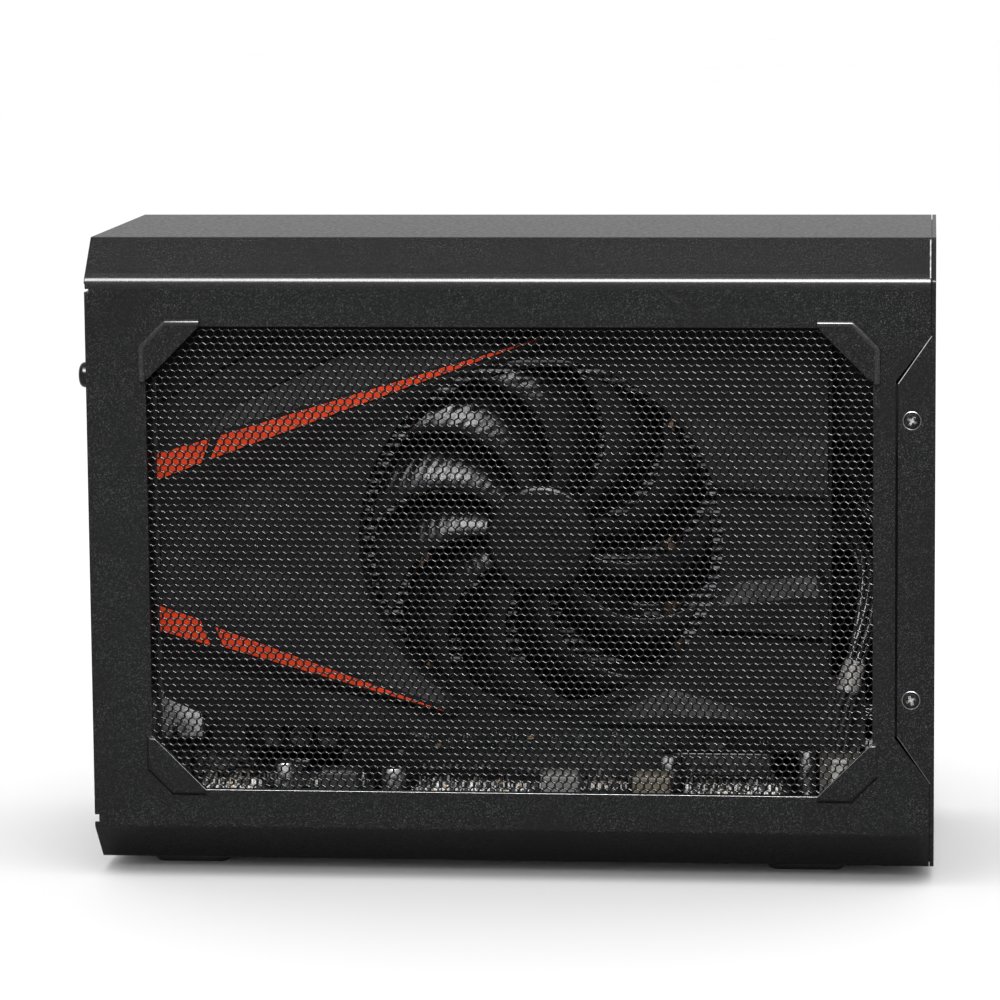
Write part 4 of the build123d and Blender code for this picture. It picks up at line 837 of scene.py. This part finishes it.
# Middle, length and width of each carrier chip
CHIPS = (
    (-12.0, -18.0, 20.0, 14.0), (55.0, -20.0, 9.0, 9.0),
    (-74.0, -20.0, 10.0, 8.0), (-45.0, 24.0, 12.0, 12.0),
)
CHIP_LEAD_PITCH, CHIP_LEAD_MARGIN = 0.8, 1.0
# Distance from the chip, height of the middle and sizes of a lead's shoulder and foot
CHIP_LEAD = ((0.25, 0.75, (0.35, 0.5, 0.2)), (0.75, 0.12, (0.35, 0.9, 0.2)))
SLOT_TAILS, TAIL_START, TAIL_PITCH, TAIL_Y, TAIL = 80, -46.0, 1.04, -2.25, (0.4, 0.5, 1.2)


def chip_leads():
    """Gull-wing leads along both sides of the carrier chips."""
    for x, y, length, width in CHIPS:
        count = int((length - CHIP_LEAD_MARGIN) / CHIP_LEAD_PITCH)
        for step in spaced(count, CHIP_LEAD_PITCH):
            for s in (-1, 1):
                for reach, rise, size in CHIP_LEAD:
                    ends.append((x + step, y + s * (width / 2 + reach), BOARD_TOP + rise, *size))


def slot_tails():
    """Contact tails along the card slot."""
    for i in range(SLOT_TAILS):
        ends.append(on_board(TAIL_START + i * TAIL_PITCH, TAIL_Y, BOARD_TOP, TAIL))


card_edge_parts()
carrier_rows()
riser_boards()
pin_headers()
chip_leads()
slot_tails()
box_piece("riser_boards", risers, "board_black", 0.1)
box_piece("riser_bright_parts", bits, "pin_metal", 0.06, tinned_parts)
box_piece("board_ceramics", ceramics, "header_white", 0.12, tan_ceramic)
box_piece("board_plated_ends", ends, "socket_shell", 0.06)
box_piece("board_small_packages", dark, "chip_black", 0.15)


# Aluminium cans: crimped foot, grooved shoulder and scored top

CAN_STEPS = 40
# Foot, diameter and height of each can on the carrier board
CARRIER_CANS = (
    (-60.6, -24, 5.6, 14.0), (-33, -20, 6.3, 12.0), (37.7, -14, 5.0, 14.7),
    (73.5, -12, 4.5, 16.0), (-20, 20, 8.0, 14.0), (-8, 20, 8.0, 14.0),
)
CARD_CAN, CARD_CAN_PITCH, REAR_CARD_CANS = 6.6, 7.2, 3


def can_profile(radius, height):
    """Radius and rise of a can's outline, from the middle of its foot to the middle of its top."""
    return [
        (0.0, 0.0), (radius * 0.98, 0.0), (radius * 0.98, height * 0.05), (radius, height * 0.08),
        (radius, height * 0.16), (radius * 0.9, height * 0.2), (radius, height * 0.24),
        (radius, height - 0.5), (radius - 0.15, height - 0.15), (radius - 0.5, height),
        (radius * 0.72, height - 0.02), (radius * 0.66, height - 0.14), (0.0, height - 0.14),
    ]


def can_piece(name, node, cans, axis, look=None):
    """Cans given by foot, diameter and height in millimetres, standing along axis."""
    verts, faces = [], []
    for foot, diameter, height in cans:
        profile = can_profile(diameter / 2, height)
        lathe(verts, faces, profile, Vector(foot), axis, axis.orthogonal().normalized(), CAN_STEPS)
    join_points(new_piece(name, verts, faces, "enclosure", "capacitor_can", True, (node,), look=look))


can_piece(
    "carrier_cans",
    "carrier_capacitors",
    [((x, y, BOARD_TOP), diameter, height) for x, y, diameter, height in CARRIER_CANS],
    Z_AXIS,
)
cans_low, cans_high = box_mm("card_capacitors")
card_can_xs = [cans_low.x + CARD_CAN / 2 + i * CARD_CAN_PITCH for i in range(REAR_CARD_CANS)]
card_can_xs.append(cans_high.x - CARD_CAN / 2)
card_can_z = (cans_low.z + cans_high.z) / 2
card_can_height = CARD_FACE - cans_low.y
can_piece(
    "card_cans",
    "card_capacitors",
    [((x, CARD_FACE, card_can_z), CARD_CAN, card_can_height) for x in card_can_xs],
    -Y_AXIS,
    dark_can,
)


# Square chokes with a stepped top and plated feet, each in its own tone

CHOKE, CHOKE_CAP, CHOKE_FOOT = (9.6, 8.0, 12.0), (8.6, 7.0, 0.8), (0.8, 4.0, 1.2)
CHOKE_CAP_SUNK, CHOKE_FOOT_REACH = 0.2, 4.6


def choke(name, x, y, look, replaced=()):
    cap_foot = BOARD_TOP + CHOKE[2] - CHOKE_CAP_SUNK
    blocks = [on_board(x, y, BOARD_TOP, CHOKE), on_board(x, y, cap_foot, CHOKE_CAP)]
    blocks += [on_board(x + s * CHOKE_FOOT_REACH, y, BOARD_TOP, CHOKE_FOOT) for s in (-1, 1)]
    box_piece(name, blocks, "chip_black", 0.35, look, replaced)


choke("choke_dark", -46.0, -26.0, dark_ferrite, ("carrier_chokes",))
choke("choke_grey", 10.9, -27.0, pale_ferrite)
choke("choke_beige", 34.3, -27.0, beige_ferrite)
choke("choke_rear", 4.0, 21.0, grey_ferrite)


# Light clips: a plate with two ribs on the power header, and a ribbed block above and beside it

# Place from the middle of the header's near face, and sizes
CLIP_BOXES = (
    ((0.0, -0.3, 24.2), (4.2, 0.6, 6.8)),
    ((0.0, -0.7, 21.2), (3.6, 0.5, 1.0)),
    ((0.0, -0.7, 26.9), (3.6, 0.5, 0.8)),
    ((8.0, -4.0, 31.8), (2.6, 3.0, 3.4)),
    ((8.0, -5.6, 31.0), (1.6, 0.4, 0.8)),
    ((8.0, -5.6, 32.6), (1.6, 0.4, 0.8)),
)
header_low, header_high = box_mm("board_power_header")
header_face = Vector(((header_low.x + header_high.x) / 2, header_low.y, 0.0))
clips = [(*(header_face + Vector(place)), *size) for place, size in CLIP_BOXES]
box_piece("lead_clips", clips, "header_white", 0.15, clip_plastic)


# Front screws: a dark domed head with a cross recess in a dimple ring; the ring in lighter metal as painted
# highlight and the recess in bright metal as painted glints

HEAD_STEPS = 48
# Share of the screw's radius and rise in millimetres, from the flat of the head to the dimple's edge
HEAD_RINGS = (
    (0.7, 0.3), (0.8, 0.24), (0.85, 0.1), (0.86, -0.2),
    (0.93, -0.2), (0.96, 0.02), (1.01, 0.05), (1.05, 0.0),
)
FIRST_DIMPLE_RING = 4
CROSS_LONG, CROSS_HALF, CROSS_DEPTH, CROSS_TAPER = 0.56, 0.17, 0.8, 0.55
HEAD_TURNS = (0.4, 1.1)


def cross_outline(radius):
    """Twelve corners of a cross recess."""
    arm, half = radius * CROSS_LONG, radius * CROSS_HALF
    corners = []
    for c, s in ((1, 0), (0, 1), (-1, 0), (0, -1)):
        for u, v in ((arm, -half), (arm, half), (half, half)):
            corners.append((u * c - v * s, u * s + v * c))
    return corners


def add_screw_head(bm, middle, outward, radius, turn):
    """Adds a head about a point in metres: rings in finish 0, the dimple in 1 and the recess in 2."""

    def place(u, v, rise):
        spin_u = u * math.cos(turn) - v * math.sin(turn)
        spin_v = u * math.sin(turn) + v * math.cos(turn)
        return bm.verts.new((middle.x + spin_u, middle.y + outward * rise, middle.z + spin_v))

    arcs = [2 * math.pi * i / HEAD_STEPS for i in range(HEAD_STEPS)]
    circles = []
    for share, rise in HEAD_RINGS:
        reach = radius * share
        circles.append([place(reach * math.cos(arc), reach * math.sin(arc), rise * MM) for arc in arcs])
    for ring, (inner, outer) in enumerate(zip(circles, circles[1:])):
        for i in range(HEAD_STEPS):
            j = (i + 1) % HEAD_STEPS
            face = bm.faces.new((inner[i], inner[j], outer[j], outer[i]))
            face.material_index = 1 if ring >= FIRST_DIMPLE_RING else 0
    top = HEAD_RINGS[0][1] * MM
    cross = cross_outline(radius)
    count = len(cross)
    mouth = [place(u, v, top) for u, v in cross]
    foot = [place(u * CROSS_TAPER, v * CROSS_TAPER, top - CROSS_DEPTH * MM) for u, v in cross]
    inner = circles[0]
    loops = [bm.edges.get((inner[i], inner[(i + 1) % HEAD_STEPS])) for i in range(HEAD_STEPS)]
    loops += [bm.edges.new((mouth[i], mouth[(i + 1) % count])) for i in range(count)]
    bmesh.ops.triangle_fill(bm, use_beauty=True, edges=loops)
    for i in range(count):
        j = (i + 1) % count
        bm.faces.new((mouth[i], mouth[j], foot[j], foot[i])).material_index = 2
    bm.faces.new(foot).material_index = 2


def screw_heads(name, node):
    low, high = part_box(node)
    radius = (high.x - low.x) / 2
    bm = bmesh.new()
    for face_y, outward in ((low.y, -1), (high.y, 1)):
        for z, turn in zip((low.z + radius, high.z - radius), HEAD_TURNS):
            add_screw_head(bm, Vector(((low.x + high.x) / 2, face_y, z)), outward, radius, turn)
    bmesh.ops.recalc_face_normals(bm, faces=bm.faces)
    mesh = bpy.data.meshes.new(name)
    bm.to_mesh(mesh)
    bm.free()
    for look in (looks["screw_black"], painted_dimple_highlight, recess_glint):
        mesh.materials.append(look)
    dress(name, mesh, "enclosure", (node,))


screw_heads("front_screw_heads", "front_panel_screws")


# Rolled lower lip of each side window, in light metal only along the upward-facing lower edges: painted
# highlight

LIP_RADIUS, SILL_SUNK, PAD_SUNK = 0.08, 0.1, 0.15


def window_lips(name):
    left, right = WINDOW.x - WINDOW_HALF.x, WINDOW.x + WINDOW_HALF.x
    sill = WINDOW.z - WINDOW_HALF.z
    sill_y, pad_y = SIDE - SILL_SUNK, CREST - PAD_SUNK
    runs = [((left + WINDOW_CORNER, sill_y, sill), (right - WINDOW_CORNER, sill_y, sill))]
    for end, inward in ((left, 1), (right, -1)):
        runs.append(((end, pad_y, sill + WINDOW_CORNER), (end + inward * WINDOW_CORNER, pad_y, sill)))
    bead_piece(name, both_sides(runs), LIP_RADIUS, painted_lip_highlight)


window_lips("window_lips")


# Rounded creases: crests of the upper window corners, the upper folds and the sheet's front end

CREST_RADIUS, CREST_PROUD = 0.95, 0.22
CREST_LAP, CREST_CUT = 0.85, 6.3
CREST_SOFT_FAR, CREST_SOFT_NEAR = 0.93, 0.04
FOLD_RADIUS, FOLD_PROUD, FOLD_STEPS = 3.2, 0.15, 16
HALF_BEND, FOLD_REACH = math.radians(22.5), math.radians(40.0)
END_INSET, END_RADIUS, END_MARGIN = 0.2, 0.22, 0.6
SLEEVE_REAR, SLEEVE_FRONT = sleeve_low.x + END_INSET, sleeve_high.x - END_INSET


def corner_crests(name):
    y = CREST + CREST_PROUD - CREST_RADIUS
    edge_x, edge_z = WINDOW_HALF.x + CREST_LAP, WINDOW_HALF.z + CREST_LAP
    far, near = CREST_CUT * CREST_SOFT_FAR, CREST_CUT * CREST_SOFT_NEAR
    outline = (
        (WINDOW_HALF.x - WINDOW_CORNER, edge_z),
        (edge_x - CREST_CUT, edge_z),
        (edge_x - far, edge_z - near),
        (edge_x - near, edge_z - far),
        (edge_x, edge_z - CREST_CUT),
        (edge_x, WINDOW_HALF.z - WINDOW_CORNER),
    )
    runs = [[(WINDOW.x + end * x, y, WINDOW.z + z) for x, z in outline] for end in (-1, 1)]
    bead_piece(name, both_sides(runs), CREST_RADIUS, crease_coat, rounds=6)


def rounded_folds(name):
    """Broad soft radius over the two upper folds of the sleeve."""
    back = (FOLD_RADIUS - FOLD_PROUD) / math.cos(HALF_BEND)
    center_y = SIDE - back * math.cos(HALF_BEND)
    center_z = FOLD_Z - back * math.sin(HALF_BEND)
    verts, faces = [], []
    for outward in (-1, 1):
        first = len(verts)
        for i in range(FOLD_STEPS + 1):
            angle = HALF_BEND - FOLD_REACH + 2 * FOLD_REACH * i / FOLD_STEPS
            y = outward * (center_y + FOLD_RADIUS * math.cos(angle))
            z = center_z + FOLD_RADIUS * math.sin(angle)
            verts += [(SLEEVE_REAR * MM, y * MM, z * MM), (SLEEVE_FRONT * MM, y * MM, z * MM)]
        for i in range(FOLD_STEPS):
            a = first + 2 * i
            quad = (a, a + 1, a + 3, a + 2)
            faces.append(quad if outward < 0 else quad[::-1])
    new_piece(name, verts, faces, "enclosure", "case_black", True, look=fold_coat)


# The sleeve's front end along the upper bevel in light metal: painted highlight
def sheet_ends(name):
    run = [(SLEEVE_FRONT, SIDE - inset, FOLD_Z + inset) for inset in (FOLD - END_MARGIN, END_MARGIN)]
    bead_piece(name, both_sides([run]), END_RADIUS, painted_edge_highlight)


corner_crests("corner_crests")
rounded_folds("rounded_folds")
sheet_ends("sheet_ends")


# Edges of the front panel's side tabs in light metal, brighter on the upper edges than the lower ones:
# painted highlights; and the seam between tab and sleeve, a dark bead of painted shade

TAB_GAP, TAB_HALF, TAB_ROOT_HALF = 0.6, 44.15, 56.05
TAB_EDGE_RADIUS, TAB_EDGE_SUNK = 0.13, 0.04


def tab_edges():
    screws_low, screws_high = box_mm("front_panel_screws")
    middle = (screws_low.z + screws_high.z) / 2
    tip_x, root_x, y = panel_low.x, panel_high.x - SHEET, SIDE - TAB_EDGE_SUNK
    upper = ((tip_x, y, middle + TAB_HALF), (root_x, y, middle + TAB_ROOT_HALF))
    lower = ((tip_x, y, middle - TAB_HALF), (root_x, y, middle - TAB_ROOT_HALF))
    seam_radius = TAB_GAP / 2
    seam = [(tip_x - seam_radius, SIDE - seam_radius, middle + s * TAB_HALF) for s in (-1, 1)]
    # Upper tab edges light and lower ones dimmer: painted highlights
    bead_piece("tab_upper_edges", both_sides([upper]), TAB_EDGE_RADIUS, painted_edge_highlight)
    bead_piece("tab_lower_edges", both_sides([lower]), TAB_EDGE_RADIUS, painted_dim_edge_highlight)
    # Dark bead filling the gap between tab and sleeve: painted shade
    bead_piece("tab_seams", both_sides([seam]), seam_radius, seam_shade)


tab_edges()


# Insides of the rear sockets: insulators, holes, tongues and contacts

insulators, holes, tongues, contacts = [], [], [], []
VIDEO_RECESS, VIDEO_ROWS = 1.2, (-4.5, -24.8)
INSULATOR = (0.6, 7.2, 23.2)
HOLE, HOLE_DEPTH, CONTACT_PITCH, CONTACT_ROWS, FIRST_HOLE = 1.0, 0.1, 1.95, 8, -9.6
CROSS_RISE, CROSS_SLOT, CROSS_WIDTH = 8.6, 4.6, 0.5
CROSS_HOLE, CROSS_HOLE_REACH = 0.9, 1.5
# Depth behind the mouth, rise and sizes of each tongue, back wall and contact
SLIM_TONGUE, SLIM_BACK = (5.8, 0.0, (9.8, 1.3, 12.6)), (9.2, 0.0, (0.6, 4.7, 13.6))
USB_TONGUE, USB_BACK = (8.1, 1.1, (14.4, 10.0, 1.3)), (15.2, 0.0, (0.6, 11.0, 5.0))
HOST_TONGUE = (4.0, 0.0, (6.2, 0.9, 4.9))
SLIM_CONTACT, USB_CONTACT = (4.2, 0.0, (5.0, 0.08, 0.5)), (4.6, 0.42, (5.0, 1.0, 0.08))
SLIM_HALF, SLIM_CONTACTS, SLIM_PITCH, SLIM_PROUD = 7.6, 11, 1.0, 0.68
USB_HALF, USB_PORTS, USB_CONTACTS, USB_PITCH = 6.3, (15.81, 23.3), 4, 2.2


def in_socket(mouth, y, z, form):
    """Box of a tongue, back wall or contact behind a socket's mouth."""
    depth, rise, size = form
    return (mouth + depth, y, z + rise, *size)


def stacked_sockets():
    """Insulator of each large video socket, with three columns of holes and a cross slot, each a shallow
    dark box of painted shade.
    """
    low, high = box_mm("stacked_video_sockets")
    face_x, middle_z = low.x + VIDEO_RECESS, (low.z + high.z) / 2
    hole_x, cross_z = face_x - INSULATOR[0], middle_z + CROSS_RISE
    for y in VIDEO_ROWS:
        insulators.append((face_x - INSULATOR[0] / 2, y, middle_z, *INSULATOR))
        for i in range(CONTACT_ROWS):
            z = middle_z + FIRST_HOLE + i * CONTACT_PITCH
            holes.extend((hole_x, y + j * CONTACT_PITCH, z, HOLE_DEPTH, HOLE, HOLE) for j in (-1, 0, 1))
        holes.append((hole_x, y, cross_z, HOLE_DEPTH, CROSS_WIDTH, CROSS_SLOT))
        holes.append((hole_x, y, cross_z, HOLE_DEPTH, CROSS_SLOT, CROSS_WIDTH))
        for i in (-1, 1):
            for j in (-1, 1):
                spot = (hole_x, y + i * CROSS_HOLE_REACH, cross_z + j * CROSS_HOLE_REACH)
                holes.append((*spot, HOLE_DEPTH, CROSS_HOLE, CROSS_HOLE))


def slim_sockets():
    """Tongue, back wall and two rows of contacts in each slim video socket."""
    low, high = box_mm("slim_video_sockets")
    y = (low.y + high.y) / 2
    for z in (low.z + SLIM_HALF, high.z - SLIM_HALF):
        tongues.extend(in_socket(low.x, y, z, form) for form in (SLIM_TONGUE, SLIM_BACK))
        for step in spaced(SLIM_CONTACTS, SLIM_PITCH):
            contacts.extend(in_socket(low.x, y + s * SLIM_PROUD, z + step, SLIM_CONTACT) for s in (-1, 1))


def board_sockets():
    """Tongue, back wall and contacts in each USB port, and the tongue of the host socket."""
    low, high = box_mm("usb_sockets")
    contact_steps = spaced(USB_CONTACTS, USB_PITCH)
    for y in (low.y + USB_HALF, high.y - USB_HALF):
        for z in USB_PORTS:
            tongues.extend(in_socket(low.x, y, z, form) for form in (USB_TONGUE, USB_BACK))
            contacts.extend(in_socket(low.x, y + step, z, USB_CONTACT) for step in contact_steps)
    low, high = box_mm("host_socket")
    tongues.append(in_socket(low.x, (low.y + high.y) / 2, (low.z + high.z) / 2, HOST_TONGUE))


stacked_sockets()
slim_sockets()
board_sockets()
box_piece("socket_insulators", insulators, "header_white", 0.1, insulator)
# Dark boxes for the socket holes: painted shade
box_piece("socket_holes", holes, "inlet_black", 0.03, hole_shade)
box_piece("socket_tongues", tongues, "inlet_black", 0.1)
box_piece("socket_contacts", contacts, "pin_metal", 0.02)


# Cover of the supply on the far side: lapped seam and louvres as shallow dark marks of painted shade, and
# flat rivets

MARK_DEPTH, SEAM = 0.12, 0.5
SEAM_TOP, SEAM_BOTTOM, SEAM_FRONT, SEAM_MARGIN = 4.3, 4.2, 6.5, 0.5
LOUVRE, LOUVRE_PITCH, LOUVRES = (36.0, MARK_DEPTH, 1.9), 5.2, 9
LOUVRE_XS, LOUVRE_BOTTOM = (-48.0, 24.0), 88.0
RIVET_INSET, RIVET_BOTTOM, RIVET_TOP = 5.0, 8.5, 9.0
RIVET = ((2.6, 0.0), (2.5, 0.2), (1.6, 0.3))
RIVET_STEPS = 20


def supply_cover():
    low, high = box_mm("power_supply_case")
    middle_x, seam_x = (low.x + high.x) / 2, high.x - SEAM_FRONT
    top, bottom = high.z - SEAM_TOP, low.z + SEAM_BOTTOM
    length = high.x - low.x - 2 * SEAM_MARGIN
    marks = [(middle_x, high.y, z, length, MARK_DEPTH, SEAM) for z in (top, bottom)]
    marks.append((seam_x, high.y, (top + bottom) / 2, SEAM, MARK_DEPTH, top - bottom - SEAM))
    for x in LOUVRE_XS:
        marks += [(x, high.y, LOUVRE_BOTTOM + LOUVRE_PITCH * i, *LOUVRE) for i in range(LOUVRES)]
    box_piece("supply_cover_marks", marks, "inlet_black", 0.04, cover_shade)
    verts, faces = [], []
    for x in (low.x + RIVET_INSET, middle_x, seam_x - RIVET_INSET):
        for z in (low.z + RIVET_BOTTOM, high.z - RIVET_TOP):
            lathe(verts, faces, RIVET, Vector((x, high.y, z)), Y_AXIS, X_AXIS, RIVET_STEPS)
            faces.append(tuple(range(len(verts) - RIVET_STEPS, len(verts))))
    new_piece("supply_cover_rivets", verts, faces, "enclosure", "screw_steel")


supply_cover()


# Two narrow grooves on the upper rear wing of the shroud, drawn as thin near-black strips on its face:
# painted shade

# Rear and front end of each groove, then its width
GROOVES = (((-88.5, 120.6), (-58.5, 136.6), 0.8), ((-73.8, 116.6), (-36.5, 136.2), 1.1))
GROOVE_Y, GROOVE_DEPTH = -36.99, 0.18


def shroud_grooves(name):
    verts, faces = [], []
    for (x0, z0), (x1, z1), width in GROOVES:
        middle = Vector(((x0 + x1) / 2, GROOVE_Y, (z0 + z1) / 2))
        along = Vector((x1 - x0, 0.0, z1 - z0)) / 2
        across = Vector((-along.z, 0.0, along.x)).normalized() * width / 2
        into = Y_AXIS * GROOVE_DEPTH / 2
        first = len(verts)
        verts += [(middle + along * dx + into * dy + across * dz) * MM for dx, dy, dz in CORNERS]
        faces += [tuple(first + corner for corner in face) for face in BOX_FACES]
    new_piece(name, verts, faces, "enclosure", "shroud_plastic", look=groove_shade)


shroud_grooves("shroud_grooves")


# Softened edges on the sheet metal and mouldings


def soften(node, width):
    weld = nodes[node].modifiers.new("weld", "WELD")
    weld.merge_threshold = 0.003 * MM
    edge = nodes[node].modifiers.new("edge", "BEVEL")
    edge.width = width * MM
    edge.segments = 2
    edge.limit_method = "ANGLE"
    edge.angle_limit = math.radians(25.0)
    edge.harden_normals = True


soften("outer_sleeve", 0.22)
soften("front_panel", 0.22)
soften("shroud_accents", 0.12)


# Stage, lights and camera

FLOOR_HALF = 6.0

floor_look = Shader("pale_floor", (0.9, 0.9, 0.9), 0.85, specular=0.1)
floor_look.tint(floor_look.noise(4.0, detail=3.0), (0.92, 0.92, 0.92), low=0.3, high=0.8)
floor_mesh = bpy.data.meshes.new("floor")
floor_corners = [(sx * FLOOR_HALF, sy * FLOOR_HALF, 0) for sx, sy in ((-1, -1), (1, -1), (1, 1), (-1, 1))]
floor_mesh.from_pydata(floor_corners, [], [(0, 1, 2, 3)])
floor_mesh.materials.append(floor_look.material)
floor = bpy.data.objects.new("floor", floor_mesh)
scene.collection.objects.link(floor)

world = bpy.data.worlds.new("studio")
scene.world = world
world.use_nodes = True
world.node_tree.nodes["Background"].inputs["Color"].default_value = (1.0, 1.0, 1.0, 1.0)
world.node_tree.nodes["Background"].inputs["Strength"].default_value = 1.1


def soft_light(name, place, target, size, power, spread):
    data = bpy.data.lights.new(name, "AREA")
    data.shape = "RECTANGLE"
    data.size, data.size_y = size
    data.energy = power
    data.spread = math.radians(spread)
    lamp = bpy.data.objects.new(name, data)
    lamp.location = place
    lamp.rotation_euler = (Vector(target) - Vector(place)).to_track_quat("-Z", "Y").to_euler()
    scene.collection.objects.link(lamp)
    return lamp


# The key lights the object alone, so the floor stays evenly pale
key = soft_light("key", (0.05, -0.9, 1.05), (0.0, 0.0, 0.08), size=(1.4, 0.55), power=22.0, spread=60.0)
wash = soft_light("floor_wash", (0.0, -0.5, 1.6), (0.0, -0.3, 0.0), size=(1.6, 1.0), power=7.0, spread=180.0)
for lamp, state in ((key, "EXCLUDE"), (wash, "INCLUDE")):
    lit = bpy.data.collections.new(lamp.name + "_floor")
    lit.objects.link(floor)
    lit.collection_objects[0].light_linking.link_state = state
    lamp.light_linking.receiver_collection = lit

camera_data = bpy.data.cameras.new("camera")
camera_data.lens = 150.69
camera_data.sensor_width = 36.0
camera_data.shift_x = -0.06
camera_data.shift_y = -0.08
camera_data.clip_start = 0.01
camera = bpy.data.objects.new("camera", camera_data)
scene.collection.objects.link(camera)
camera.location = (0.10445, -1.07379, 0.24739)
yaw, pitch, roll = -0.0887, -0.1255, -0.0068
forward = Vector((math.sin(yaw) * math.cos(pitch), math.cos(yaw) * math.cos(pitch), math.sin(pitch)))
camera.rotation_mode = "QUATERNION"
level = forward.to_track_quat("-Z", "Y")
camera.rotation_quaternion = level @ Euler((0.0, 0.0, roll)).to_quaternion()
scene.camera = camera
scene.view_settings.view_transform = "Standard"
